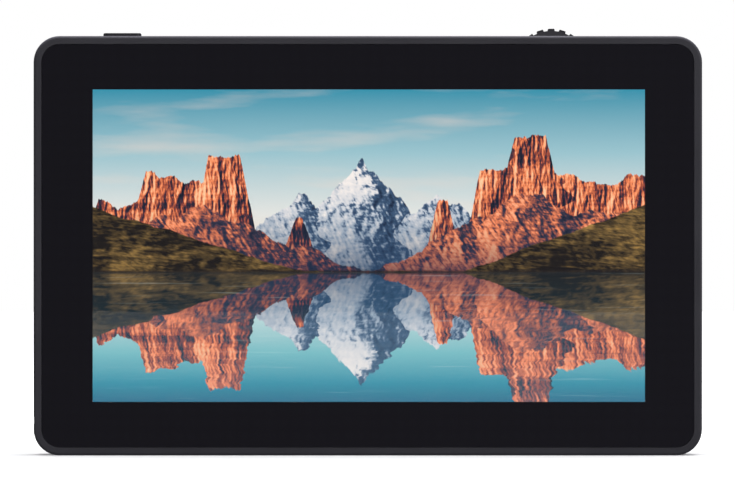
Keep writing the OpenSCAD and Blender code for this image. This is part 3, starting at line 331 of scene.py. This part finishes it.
SHELL_GREY = "#1F1F22"
finishes = {
    "shell_plastic": moulded("moulded_abs_shell", SHELL_GREY, 0.46),
    "plate_plastic": moulded("moulded_nylon_plate", "#222224", 0.52),
    "key_plastic": moulded("moulded_abs_key", "#19191B", 0.36, depth=0.015 * MM),
    "toggle_plastic": moulded("moulded_abs_toggle", "#2C2C2E", 0.42),
    "chip_epoxy": moulded("moulded_epoxy_chip", "#1E1E20", 0.55, grain=0.2 * MM),
    "coil_ferrite": moulded("pressed_ferrite", "#3A3A3E", 0.6, grain=0.5 * MM, depth=0.03 * MM, mottle=0.15),
    "connector_nylon": moulded("natural_nylon", "#E0DCCC", 0.4, mottle=0.03),
    "tongue_plastic": moulded("moulded_polymer_tongue", "#161618", 0.4),
    "jack_plastic": moulded("moulded_polymer_jack", "#19191B", 0.38),
    "switch_plastic": moulded("moulded_polymer_switch", "#BFC1C3", 0.4, mottle=0.03),
    "carrier_acetal": moulded("moulded_acetal_fork", "#8A8A8E", 0.35, mottle=0.03),
    "block_plastic": moulded("moulded_polymer_block", "#29292B", 0.45),
    "latch_plastic": moulded("moulded_acetal_latch", "#3A3A3D", 0.4),
}
print("moulded finishes:", len(finishes))

# %% [markdown]
# Thumbs wear the ends of the toggle's teeth smooth, so from the front they mirror the dark side of the
# studio and look nearly black. That reflection is painted into their colour as a darkening by the distance
# from the toggle's axle, whose middle the frame gives, which multiplies the tone the plastic already has.

# %% Painted dark reflection on the teeth tips
# How far below the tips the painted dark reflection begins, and where it is full
PAINTED_REFLECTION_FROM, PAINTED_REFLECTION_TO = 0.675 * MM, 0.225 * MM
PAINTED_REFLECTION_TONE = 0.3

pin_low, pin_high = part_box("toggle_pin")
axle_x, axle_z = (pin_low.x + pin_high.x) / 2, (pin_low.z + pin_high.z) / 2
tip_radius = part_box("toggle_knob")[1].z - axle_z

tree = finishes["toggle_plastic"].node_tree
shader = tree.nodes["Principled BSDF"]
fresh = shader.inputs["Base Color"].links[0].from_socket
from_axle = add(tree, "Mapping", {"Vector": add(tree, "TexCoord").outputs["Object"],
                                  "Scale": (1.0, 0.0, 1.0), "Location": (-axle_x, 0.0, -axle_z)})
radius = add(tree, "VectorMath", {0: from_axle}, operation="LENGTH")
# Painted reflection: the tips' colour is darkened to stand for the dark studio that they mirror
painted_reflection = add(tree, "MapRange", {"Value": live(radius.outputs, "Value"),
                              "From Min": tip_radius - PAINTED_REFLECTION_FROM, "From Max": tip_radius - PAINTED_REFLECTION_TO,
                              "To Min": 1.0, "To Max": PAINTED_REFLECTION_TONE})
dress(tree, shader, fresh, painted_reflection)
print("teeth reach", round(tip_radius / MM, 2), "mm from the axle")

# %% [markdown]
# Metals differ in how they were worked. Sheet that is rolled and stamped carries faint straight
# lines, a turned insert carries rings, and drawn wire is nearly smooth. One recipe stretches a noise
# along the direction of the work, and lets it vary both the roughness and a very shallow bump.

# %% Worked metals
def worked(name, colour, roughness, stretch, line=0.15 * MM, depth=0.003 * MM):
    """A worked metal: a noise of the line's width, squeezed by the stretch along x, y and z, so that it
    reads as lines. It moves the roughness by 0.1 and the tone by 8 percent either way."""
    material, tree, shader, place = start(name, Metallic=1.0, Roughness=roughness)
    along = add(tree, "Mapping", {"Vector": place, "Scale": stretch})
    lines = add(tree, "TexNoise", {"Vector": along, "Scale": 1 / line, "Detail": 3.0})
    rough = add(tree, "MapRange", {"Value": lines, "From Min": 0.3, "From Max": 0.7,
                                   "To Min": roughness - 0.1, "To Max": roughness + 0.1})
    tone = add(tree, "MapRange", {"Value": lines, "From Min": 0.3, "From Max": 0.7,
                                  "To Min": 0.92, "To Max": 1.08})
    dress(tree, shader, colour, tone, rough, lines, depth)
    return material


ACROSS, UPRIGHT, EVEN = (0.04, 1.0, 1.0), (1.0, 1.0, 0.04), (0.7, 0.7, 0.7)
finishes |= {
    "tray_steel": worked("rolled_steel_tray", "#C9C9CC", 0.36, ACROSS),
    "chassis_aluminium": worked("stamped_aluminium_chassis", "#A6A8AC", 0.42, ACROSS),
    "screw_steel": worked("nickel_plated_screw", "#B2B2B0", 0.3, EVEN),
    "screw_black": worked("black_oxide_screw", "#2A2A2C", 0.42, EVEN),
    "sink_aluminium": worked("extruded_aluminium_sink", "#BDBFC3", 0.4, UPRIGHT),
    "cap_aluminium": worked("drawn_aluminium_can", "#C4C6CA", 0.28, EVEN),
    "socket_steel": worked("tin_plated_socket", "#B9BBBE", 0.3, (0.05, 1.0, 1.0)),
    "pin_brass": worked("turned_brass_pin", "#C9B27A", 0.25, EVEN),
    "insert_brass": worked("turned_brass_insert", "#BD9C58", 0.3, (1.0, 1.0, 0.2)),
    "contact_gold": worked("gold_plated_contact", "#D6AE55", 0.24, UPRIGHT),
    "spring_steel": worked("drawn_spring_wire", "#BDBFC1", 0.25, EVEN),
}
print("finishes so far:", len(finishes))

# %% [markdown]
# The front is one sheet of clear glass. Behind its border lies screen-printed black ink, and that is
# what makes the border look black and deep at once. The touch sensor is bonded to the glass with clear
# gel, so nothing mirrors between the two: its refraction index is set close to that of air, which is
# how such a bond looks. The glass carries the faintest film of smudges in its roughness.

# %% Glass, ink and foam
# A printing screen's mesh is about 0.1 mm; it is drawn 3.1 mm wide, or it would not show
INK_WEAVE = math.pi * MM
# A wave texture turns through this many radians per unit
WAVE_TURN = 20


def clear(name, tint, ior, smudge):
    """A clear sheet: full transmission, and a roughness from 0 to the smudge in patches 9 mm wide."""
    material, tree, shader, place = start(name, Base_Color=tint, Transmission_Weight=1.0, IOR=ior)
    patches = add(tree, "TexNoise", {"Vector": place, "Scale": 1 / (9 * MM), "Detail": 5.0})
    dress(tree, shader, rough=add(tree, "MapRange", {"Value": patches, "From Min": 0.35, "From Max": 0.8,
                                                     "To Min": 0.0, "To Max": smudge}))
    return material


def printed(name, colour, roughness):
    """Screen-printed ink: the printing screen's woven mesh leaves its cells as two crossed waves."""
    material, tree, shader, place = start(name, Base_Color=colour, Roughness=roughness)
    across, up = [add(tree, "TexWave", {"Vector": place, "Scale": 2 * math.pi / (WAVE_TURN * INK_WEAVE),
                                        "Distortion": 0.4}, bands_direction=axis) for axis in ("X", "Z")]
    mesh = add(tree, "Math", {0: across.outputs["Fac"], 1: up.outputs["Fac"]}, operation="MULTIPLY")
    tone = add(tree, "Mix", {"Factor": mesh, "A": colour, "B": "#1D1C22"}, data_type="RGBA")
    tree.links.new(live(tone.outputs, 0), shader.inputs["Base Color"])
    return material


def foamed(name, colour, cell):
    """Foam or soft silicone: closed cells of that size, dark at their walls, with a soft sheen."""
    material, tree, shader, place = start(name, Base_Color=colour, Roughness=0.95, Sheen_Weight=0.3)
    cells = add(tree, "TexVoronoi", {"Vector": place, "Scale": 1 / cell})
    tone = add(tree, "MapRange", {"Value": cells.outputs["Distance"], "To Min": 1.15, "To Max": 0.7})
    dress(tree, shader, colour, tone, height=cells.outputs["Distance"], depth=cell / 4, strength=0.6)
    return material


finishes |= {
    "cover_glass": clear("polished_cover_glass", "#FFFFFF", 1.5, 0.025),
    "touch_glass": clear("bonded_touch_glass", "#FBFDFF", 1.03, 0.0),
    "guide_acrylic": clear("clear_acrylic_guide", "#F2FBFA", 1.49, 0.05),
    "border_ink": printed("screen_printed_ink", "#17161B", 0.6),
    "foam": foamed("closed_cell_foam", "#131313", 0.4 * MM),
    "thermal_silicone": foamed("soft_silicone_pad", "#8AA0B8", 0.5 * MM),
}
print("finishes so far:", len(finishes))

# %% [markdown]
# Films and laminates make up the rest. The ribbon cables are amber polyimide with copper tracks
# under it, which show as stripes 0.5 mm apart along the cable. The circuit board is glass laminate
# under green solder mask, and its tracks show as slightly lighter lines and blocks.

# %% Films, light packages and the circuit board
def ribboned(name, film, copper, pitch):
    """A ribbon cable: stripes across x, one per pitch, copper where a sine is high and film between."""
    material, tree, shader, place = start(name, Roughness=0.3, Coat_Weight=0.5)
    across = add(tree, "SeparateXYZ", {0: place})
    turns = add(tree, "Math", {0: across.outputs["X"], 1: 2 * math.pi / pitch}, operation="MULTIPLY")
    wave = add(tree, "Math", {0: turns}, operation="SINE")
    track = add(tree, "MapRange", {"Value": wave, "From Min": -0.2, "From Max": 0.2})
    tone = add(tree, "Mix", {"Factor": track, "A": film, "B": copper}, data_type="RGBA")
    tree.links.new(live(tone.outputs, 0), shader.inputs["Base Color"])
    return material


def laminated(name, mask, track, pitch):
    """A circuit board: cells of random blocks, a few pitches wide, whose borders are the tracks."""
    material, tree, shader, place = start(name, Roughness=0.35, Coat_Weight=0.3)
    blocks = add(tree, "TexVoronoi", {"Vector": place, "Scale": 1 / (6 * pitch)},
                 distance="CHEBYCHEV", feature="F2")
    fine = add(tree, "TexVoronoi", {"Vector": place, "Scale": 1 / pitch}, distance="MANHATTAN")
    lines = add(tree, "Math", {0: blocks.outputs["Distance"], 1: fine.outputs["Distance"]},
                operation="MULTIPLY")
    shown = add(tree, "MapRange", {"Value": lines, "From Min": 0.28, "From Max": 0.34})
    tone = add(tree, "Mix", {"Factor": shown, "A": mask, "B": track}, data_type="RGBA")
    tree.links.new(live(tone.outputs, 0), shader.inputs["Base Color"])
    dress(tree, shader, height=shown, depth=0.03 * MM, strength=0.5)
    return material


finishes |= {
    "flex_film": ribboned("polyimide_ribbon", "#A8642C", "#C98A48", 0.5 * MM),
    "board_laminate": laminated("solder_masked_laminate", "#1B4630", "#2B6446", 0.8 * MM),
    "optic_film": moulded("matte_optic_film", "#F0F0EC", 0.7, mottle=0.01),
    "led_package": moulded("moulded_light_package", "#E8D890", 0.3, mottle=0.05),
}
print("finishes so far:", len(finishes))

# %% [markdown]
# A monitor is photographed switched on, and its picture is most of what one sees. This one is painted
# by nodes: a canyon lake at dawn, with a snowy range far off, red table mountains nearer, dark banks in
# front and still water below. Everything is counted in picture heights, x to the right and z up. The
# rectangle comes from the frame: the foam ring round the picture lies a known step outside it.

# %% Picture: its rectangle
RING_STEP = 2.2 * MM
ring_low, ring_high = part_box("lcd_gasket")
picture_x, picture_z = ring_low.x + RING_STEP, ring_low.z + RING_STEP
picture_w = ring_high.x - ring_low.x - 2 * RING_STEP
picture_h = ring_high.z - ring_low.z - 2 * RING_STEP
aspect = picture_w / picture_h

screen, tree, shader, place = start("liquid_crystal_cell", Base_Color="#050506", Roughness=0.4,
                                    Specular_IOR_Level=0.0)
spot = add(tree, "SeparateXYZ", {0: place})
x = add(tree, "MapRange", {"Value": spot.outputs["X"], "From Min": picture_x,
                           "From Max": picture_x + picture_w, "To Max": aspect}, clamp=False)
z = add(tree, "MapRange", {"Value": spot.outputs["Z"], "From Min": picture_z,
                           "From Max": picture_z + picture_h}, clamp=False)
print("picture in mm:", round(picture_w / MM, 2), "by", round(picture_h / MM, 2))

# %% [markdown]
# Still water is a mirror: what lies a height above the water line shows the same height below it. So
# the land is painted once, over the height above or below the line, and ripples only push the place
# where the mirrored land is looked up, more so the nearer the water is. The lake also softens the
# relief that it mirrors.

# %% Picture: the mirror in the lake
WATER_LINE = 0.415
# How far a ripple pushes at the water line, and how much more at each picture height from it
SWAY_FAR, SWAY_NEAR = 0.004, 0.10
# How much of the relief's contrast the lake takes away
SOFTENED = 0.45


def formula(value, *steps, clamp=False):
    """A number worked out step by step: each step says what is done with the number so far, and with
    what. With clamp, the result is held between 0 and 1."""
    for step, (operation, *others) in enumerate(steps, start=1):
        value = add(tree, "Math", dict(enumerate([value, *others])), operation=operation,
                    use_clamp=clamp and step == len(steps))
    return value


def noise_over(across_scale, up_scale, seed, detail=5.0, roughness=0.5):
    """A noise of its own seed over the picture, with so many cells per picture height each way."""
    point = add(tree, "CombineXYZ", {"X": formula(across, ("MULTIPLY", across_scale)),
                                     "Y": formula(height, ("MULTIPLY", up_scale)), "Z": seed})
    return add(tree, "TexNoise", {"Vector": point, "Scale": 1.0, "Detail": detail, "Roughness": roughness})


over_line = formula(z, ("SUBTRACT", WATER_LINE))
reach = formula(over_line, ("ABSOLUTE",))
wet = formula(over_line, ("LESS_THAN", 0.0))
across, height = x, z
waves = formula(noise_over(4.0, 60.0, 1.0), ("SUBTRACT", 0.5), ("MULTIPLY", wet))
crests = noise_over(3.0, 130.0, 8.0, detail=3.0)
sway = formula(reach, ("MULTIPLY_ADD", SWAY_NEAR, SWAY_FAR), ("MULTIPLY", waves))
across = formula(x, ("ADD", sway))
height = formula(reach, ("ADD", sway), ("MAXIMUM", 0.0))
crisp = formula(wet, ("MULTIPLY_ADD", -SOFTENED, 1.0))
print("water line at", WATER_LINE)

# %% [markdown]
# A skyline is the highest of a few forms, each level on top and falling off evenly to both sides, as
# table mountains do; a peak is one with no top. A jagged noise along x breaks the line. Light comes
# from the left, so each form is brighter left of its middle and darker right of it. Relief is the
# same at small scale: the height of the rock here against its height a small step to the upper left.

# %% Picture: skylines and relief
# How far the ridges wander, and how far past its top a form turns from light to shade
WANDER = 0.3
TURN_PAST = 0.03


def skyline(forms, jag, seed, roughness=0.62):
    """Skyline height over x: the highest of the forms (centre, half of the top, half of the foot,
    height), plus the jag times a noise along x. Returns it with the light on its forms: from 1 left of
    the nearest form's middle to -1 right of it. Ridges and valleys wander with a noise up the slope."""
    line = hill = facing = None
    wander = formula(noise_over(2.0, 7.0, seed), ("SUBTRACT", 0.5), ("MULTIPLY_ADD", WANDER, across))
    for centre, top, foot, high in forms:
        form, here = [add(tree, "MapRange", {
            "Value": formula(along, ("SUBTRACT", centre), ("ABSOLUTE",)),
            "From Min": top, "From Max": foot, "To Min": high, "To Max": 0.0}) for along in (across, wander)]
        turned = add(tree, "MapRange", {
            "Value": wander, "From Min": centre - top - TURN_PAST, "From Max": centre + top + TURN_PAST,
            "To Min": 1.0, "To Max": -1.0})
        if line is not None:
            nearest = formula(here, ("GREATER_THAN", hill))
            turned = add(tree, "Mix", {"Factor": nearest, "A": facing, "B": turned}, data_type="FLOAT")
            form = formula(line, ("MAXIMUM", form))
            here = formula(hill, ("MAXIMUM", here))
        line, hill, facing = form, here, turned
    rough = add(tree, "TexNoise", {"W": formula(across, ("ADD", seed)), "Scale": 7.0, "Detail": 10.0,
                                   "Roughness": roughness}, noise_dimensions="1D")
    return formula(rough, ("SUBTRACT", 0.5), ("MULTIPLY_ADD", jag, line)), facing


def relief(scale, lean, squeeze, seed, contrast, step=0.006, roughness=0.66):
    """Light on rock, about one half: a rough noise a step to the upper left, folded about its middle so
    that it has sharp edges, less the same noise here, times the contrast. The lean tips the ridges
    downhill and the squeeze draws them out."""
    down = formula(height, ("MULTIPLY_ADD", lean, across))
    here = add(tree, "CombineXYZ", {"X": down, "Y": formula(height, ("MULTIPLY", squeeze)), "Z": seed})
    there = add(tree, "Mapping", {"Vector": here, "Location": (-step, step * squeeze, 0.0)})
    folds = []
    for point in (here, there):
        rock = add(tree, "TexNoise", {"Vector": point, "Scale": scale, "Detail": 12.0,
                                      "Roughness": roughness})
        folds.append(formula(rock, ("SUBTRACT", 0.5), ("ABSOLUTE",)))
    steep = formula(crisp, ("MULTIPLY", contrast))
    return formula(folds[1], ("SUBTRACT", folds[0]), ("MULTIPLY_ADD", steep, 0.5), clamp=True)


def lay(under, over, by, low=0.0, high=1.0, at_low=0.0, at_high=1.0):
    """Lays one colour over another. Its share goes from at_low to at_high as by goes from low to high."""
    share = add(tree, "MapRange", {"Value": by, "From Min": low, "From Max": high,
                                   "To Min": at_low, "To Max": at_high})
    return add(tree, "Mix", {"Factor": share, "A": under, "B": over}, data_type="RGBA")


def lay_land(behind, land, line, softness=0.003):
    """Lays land over what is behind it, wherever the place lies below its skyline, with a soft edge."""
    return lay(behind, land, formula(line, ("SUBTRACT", height)), high=softness)


print("skyline and relief ready")

# %% [markdown]
# Dawn light decides the colours: teal overhead, cream at the horizon, coral on every rock face that
# looks at the sun, and deep blue in its shade. The sun is so low that it only reaches what stands
# high, so all land turns blue towards its foot. The lake mirrors a deeper sky the nearer it comes.

# %% Picture: sky and the far range
sky_ramp = add(tree, "ValToRGB", {"Fac": formula(height, ("DIVIDE", 1 - WATER_LINE))},
               stops=[(0.0, "#FADCC2"), (1.0, "#3490A8"), (0.32, "#E4E4DE"), (0.65, "#9CC4CC")])
sky = lay(sky_ramp, "#F2DACB", noise_over(1.6, 11.0, 2.0), 0.52, 0.8, at_high=0.5)
depth = formula(reach, ("DIVIDE", WATER_LINE))
deep = add(tree, "ValToRGB", {"Fac": depth},
           stops=[(0.0, "#D6DCD6"), (1.0, "#006482"), (0.35, "#BEDAD8"), (0.62, "#7CC0C4"),
                  (0.86, "#1C8CA2")])
picture = lay(sky, deep, wet)

far, far_side = skyline([(0.16, 0.0, 0.40, 0.24), (0.86, 0.0, 0.34, 0.36), (1.10, 0.0, 0.30, 0.27),
                         (0.66, 0.0, 0.3, 0.25)], 0.13, 3.7)
far_light = formula(relief(4.5, 0.5, 0.8, 2.0, 8.0, roughness=0.62), ("SUBTRACT", 0.04))
far_light = formula(far_side, ("MULTIPLY_ADD", 0.14, far_light), clamp=True)
far_rock = add(tree, "ValToRGB", {"Fac": far_light},
               stops=[(0.0, "#16273F"), (1.0, "#FFF6EE"), (0.34, "#3F5A78"), (0.52, "#A9B8C8")])
high_up = add(tree, "MapRange", {"Value": height, "From Min": 0.14, "From Max": 0.30})
snow = formula(add(tree, "MapRange", {"Value": far_light, "From Min": 0.42, "From Max": 0.55}),
               ("MULTIPLY", high_up))
far_rock = lay(far_rock, "#FFF3EA", snow, at_high=0.75)
picture = lay_land(picture, lay(far_rock, "#24405E", height, 0.0, 0.20, 0.8, 0.0), far)
print("sky and far range painted")

# %% [markdown]
# The table mountains are two things. Their walls stand almost upright, are cut into flutes by rain
# and show the beds that the rock was laid down in. Below them lies what has fallen off: fans of
# rubble that rest at the slope where rubble stays put. The fans are painted in front of the walls.

# %% Picture: table mountains
walls, wall_side = skyline([(0.30, 0.13, 0.22, 0.30), (0.42, 0.05, 0.13, 0.37), (0.10, 0.08, 0.17, 0.22),
                            (1.40, 0.05, 0.14, 0.44), (1.30, 0.06, 0.13, 0.33), (1.64, 0.16, 0.27, 0.30),
                            (1.12, 0.015, 0.07, 0.23), (0.66, 0.01, 0.07, 0.19)], 0.11, 11.3, 0.66)
flutes = relief(9.0, 0.0, 0.22, 5.0, 8.5)
beds = noise_over(1.2, 26.0, 6.0, detail=4.0, roughness=0.6)
wall_light = formula(beds, ("SUBTRACT", 0.5), ("MULTIPLY_ADD", 0.8, flutes), clamp=True)
patches = formula(noise_over(3.0, 1.0, 4.0), ("SUBTRACT", 0.5))
wall_light = formula(patches, ("MULTIPLY_ADD", 1.2, wall_light), ("ADD", 0.04))
wall_light = formula(wall_side, ("MULTIPLY_ADD", 0.18, wall_light), clamp=True)
wall_rock = add(tree, "ValToRGB", {"Fac": wall_light},
                stops=[(0.0, "#0A1322"), (1.0, "#FFCB9C"), (0.30, "#242638"), (0.47, "#9A4432"),
                       (0.68, "#FF8D58")])
picture = lay_land(picture, lay(wall_rock, "#1C2C44", height, 0.06, 0.2, 0.6, 0.0), walls, 0.002)

fans, fan_side = skyline([(0.36, 0.04, 0.44, 0.20), (0.22, 0.0, 0.30, 0.19), (0.08, 0.0, 0.34, 0.15),
                          (1.40, 0.04, 0.38, 0.25), (1.24, 0.0, 0.30, 0.18), (1.66, 0.1, 0.42, 0.19),
                          (0.66, 0.0, 0.20, 0.09), (1.12, 0.0, 0.22, 0.12)], 0.08, 17.9)
fan_light = formula(relief(6.0, 0.7, 0.8, 7.0, 7.0), ("ADD", 0.02))
fan_light = formula(fan_side, ("MULTIPLY_ADD", 0.12, fan_light), clamp=True)
fan_rock = add(tree, "ValToRGB", {"Fac": fan_light},
               stops=[(0.0, "#0F1B2C"), (1.0, "#FFB488"), (0.36, "#333346"), (0.53, "#A05644"),
                      (0.74, "#F68A5C")])
picture = lay_land(picture, lay(fan_rock, "#182A44", height, 0.0, 0.14, 0.75, 0.0), fans)
print("table mountains painted")

# %% [markdown]
# Two grassy banks frame the view. They are near, so their colours are the darkest and nothing pales
# them. A line of wet stones lies along the shore.

# %% Picture: banks
banks = skyline([(-0.30, 0.0, 0.98, 0.30), (2.10, 0.0, 0.92, 0.34)], 0.035, 23.1)[0]
tufts = relief(3.5, 1.4, 2.2, 9.0, 5.0, roughness=0.62)
bank_light = formula(noise_over(2.2, 6.0, 10.0, roughness=0.6), ("SUBTRACT", 0.5),
                     ("MULTIPLY_ADD", 1.4, tufts), clamp=True)
bank_grass = add(tree, "ValToRGB", {"Fac": bank_light},
                 stops=[(0.0, "#080705"), (1.0, "#C09048"), (0.38, "#1A160E"), (0.60, "#574526"),
                        (0.8, "#8A6C3A")])
picture = lay_land(picture, bank_grass, banks)
picture = lay(picture, "#1E1B18", height, 0.002, 0.010, 0.8, 0.0)
print("banks painted")

# %% [markdown]
# Water keeps a little of its own colour over what it mirrors, more towards the viewer, where one
# looks down into it. Thin bright lines are the crests of the ripples. Outside its rectangle the cell
# stays black. The backlight shines through, so the finished colours are the shader's emission.

# %% Picture: water, and onto the cell
BACKLIGHT = 1.1

water = lay(picture, "#0B7690", depth, 0.0, 1.0, 0.03, 0.18)
water = lay(water, "#D6E6E2", crests, 0.62, 0.80, at_high=0.22)
picture = lay(picture, water, wet)

right_of = formula(x, ("GREATER_THAN", 0.0))
left_of = formula(x, ("LESS_THAN", aspect))
above = formula(z, ("GREATER_THAN", 0.0))
inside = formula(z, ("LESS_THAN", 1.0), ("MULTIPLY", above), ("MULTIPLY", left_of), ("MULTIPLY", right_of))
shown = lay("#000000", picture, inside)
tree.links.new(live(shown.outputs, 0), shader.inputs["Emission Color"])
shader.inputs["Emission Strength"].default_value = BACKLIGHT
finishes["cell_glass"] = screen
print("nodes in the picture:", len(tree.nodes))

# %% [markdown]
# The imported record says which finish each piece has. Every piece of the frame already carries one
# material slot, so giving it its looks is one line per piece.

# %% Finish every piece of the frame
slot_of = {part["node"]: part["material_slot"] for part in frame["record"]["subparts"]}
for name, piece in nodes.items():
    for material_slot in piece.material_slots:
        material_slot.material = finishes[slot_of[name]]
print("finished:", len(slot_of), "pieces with", len(set(slot_of.values())), "finishes")

# %% [markdown]
# A quarter-inch tripod thread is a ridge wound round the bore of its brass insert, twenty turns to
# the inch. It is a surface of two parameters: one runs along the helix, the other across the ridge.

# %% Tripod thread
THREAD_R = 3.2 * MM
THREAD_PITCH = 25.4 * MM / 20
THREAD_HIGH = 0.6 * MM
RING_STEPS = 40
# The ridge grows from nothing and dies out over this share of a turn
RUN_OUT = 0.25


def rope_mesh(name, points):
    """A closed rope from a grid of points: rows along it, columns round it. Each cell is one face, and
    each end closes to one point, so the points that coincide there are merged."""
    rows, columns = points.shape[:2]
    index = np.arange(rows * columns).reshape(rows, columns)
    right = np.roll(index, -1, axis=1)
    faces = np.stack([index[:-1], right[:-1], right[1:], index[1:]], axis=-1).reshape(-1, 4)
    mesh = bpy.data.meshes.new(name)
    mesh.from_pydata(points.reshape(-1, 3), [], faces.tolist())
    work = bmesh.new()
    work.from_mesh(mesh)
    bmesh.ops.remove_doubles(work, verts=work.verts, dist=0.001 * MM)
    bmesh.ops.recalc_face_normals(work, faces=work.faces)
    work.to_mesh(mesh)
    work.free()
    return mesh


def piece_of(mesh, finish, body):
    """An object for the mesh, in that finish, which rides on that body."""
    piece = bpy.data.objects.new(mesh.name, mesh)
    bpy.context.scene.collection.objects.link(piece)
    mesh.materials.append(finishes[finish])
    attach(piece, body)
    return piece


insert_low, insert_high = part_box("tripod_insert")
turns = (insert_high.z - insert_low.z) / THREAD_PITCH - 1
along = np.linspace(0, 1, int(turns * RING_STEPS))[:, None]
# Across the ridge: how far up it lies, in pitches, and how far in, in ridge heights
ridge_up = np.array([-0.44, -0.08, 0.08, 0.44, 0.0])[None, :]
ridge_in = np.array([0.0, 1.0, 1.0, 0.0, -0.1])[None, :]
run_out = np.clip(np.minimum(along, 1 - along) * turns / RUN_OUT, 0, 1)
turn = 2 * math.pi * turns * along
radius = THREAD_R - THREAD_HIGH * ridge_in * run_out
rise = insert_low.z + THREAD_PITCH * (0.5 + turns * along + ridge_up * run_out)
thread_points = np.stack([radius * np.cos(turn), radius * np.sin(turn), rise], axis=-1)
thread_points[..., 0] += (insert_low.x + insert_high.x) / 2
thread_points[..., 1] += (insert_low.y + insert_high.y) / 2
insert_thread = piece_of(rope_mesh("insert_thread", thread_points), "insert_brass", "housing")
print("thread turns:", round(turns, 2), "faces:", len(insert_thread.data.polygons))

# %% [markdown]
# The release's spring is pressed together as the release goes in. A mesh of the construction can't
# change, so the spring is wound again here as a mesh of its own, in the same place, from the corners of
# its solid, and the frame's spring is hidden.

# %% Spring of the release
SPRING_WIRE = 0.3 * MM
SPRING_TURNS = 3
WIRE_SIDES = 10
TURN_STEPS = 24

spring_low, spring_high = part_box("latch_spring")
spring_middle = (spring_low + spring_high) / 2
coil = (spring_high.x - spring_low.x - SPRING_WIRE) / 2
# The first and last ring have no width, which closes the wire's ends
along = np.concatenate([[0.0], np.linspace(0, 1, SPRING_TURNS * TURN_STEPS + 1), [1.0]])[:, None]
wire = np.full(along.shape, SPRING_WIRE / 2)
wire[[0, -1]] = 0.0
around = 2 * math.pi * np.arange(WIRE_SIDES)[None, :] / WIRE_SIDES
turn = 2 * math.pi * SPRING_TURNS * along
radius = coil + wire * np.cos(around)
depth = spring_low.y + SPRING_WIRE / 2 + (spring_high.y - spring_low.y - SPRING_WIRE) * along
spring_points = np.stack(
    [radius * np.cos(turn), depth + wire * np.sin(around), spring_middle.z + radius * np.sin(turn)], axis=-1)
spring_points[..., 0] += spring_middle.x
coil_spring = piece_of(rope_mesh("coil_spring", spring_points), "spring_steel", "housing")
coil_spring.data.shade_smooth()
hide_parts("latch_spring")
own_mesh(coil_spring)

# %% [markdown]
# Each video and data socket holds a black tongue with a row of gold leaves on both faces. A leaf is a
# thin strip, rounded across and lower at both ends. All leaves of a socket are worked out at once: one
# array axis counts the leaves, one runs along a leaf and one across it.

# %% Gold leaves in the sockets
LEAF_HIGH = 0.06 * MM
LEAF_SUNK = 0.005 * MM


def leaves(socket, count, pitch, width, tongue, start_in, length):
    """Points of the leaves on both faces of a socket's tongue: leaf, station along x, point across.
    A strip rises to LEAF_HIGH over the face, and to 0.3 of that at its ends."""
    low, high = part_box(socket)
    stations = np.linspace(0, 1, 7)[None, :, None]
    across = np.linspace(-1, 1, 5)[None, None, :]
    leaf = ((np.arange(count) - (count - 1) / 2) * pitch)[:, None, None]
    run_out = np.clip(3 * np.minimum(stations, 1 - stations) + 0.3, 0, 1)
    raised = LEAF_HIGH * (1 - across ** 2) * run_out
    sides = []
    for face in (-1, 1):
        y = (low.y + high.y) / 2 + face * (tongue / 2 + raised - LEAF_SUNK)
        z = (low.z + high.z) / 2 + leaf + across * width / 2 * face
        x = low.x + start_in + stations * length
        sides.append(np.stack(np.broadcast_arrays(x, y, z), axis=-1))
    return np.concatenate(sides)


def strips_mesh(name, strips):
    """One mesh of many separate strips, each a grid of its own."""
    count, rows, columns = strips.shape[:3]
    index = np.arange(count * rows * columns).reshape(count, rows, columns)
    faces = np.stack([index[:, :-1, :-1], index[:, :-1, 1:], index[:, 1:, 1:], index[:, 1:, :-1]],
                     axis=-1)
    mesh = bpy.data.meshes.new(name)
    mesh.from_pydata(strips.reshape(-1, 3), [], faces.reshape(-1, 4).tolist())
    mesh.update()
    return mesh


for socket in ("hdmi_in_socket", "hdmi_out_socket"):
    strips = leaves(socket, count=10, pitch=1.0 * MM, width=0.5 * MM, tongue=1.2 * MM,
                    start_in=2.2 * MM, length=6.5 * MM)
    piece_of(strips_mesh(socket.replace("socket", "leaves"), strips), "contact_gold", "housing")
strips = leaves("usb_port", count=12, pitch=0.5 * MM, width=0.28 * MM, tongue=0.8 * MM,
                start_in=2.0 * MM, length=5.0 * MM)
piece_of(strips_mesh("usb_leaves", strips), "contact_gold", "housing")
print("leaves on each face of the data port's tongue:", len(strips) // 2)
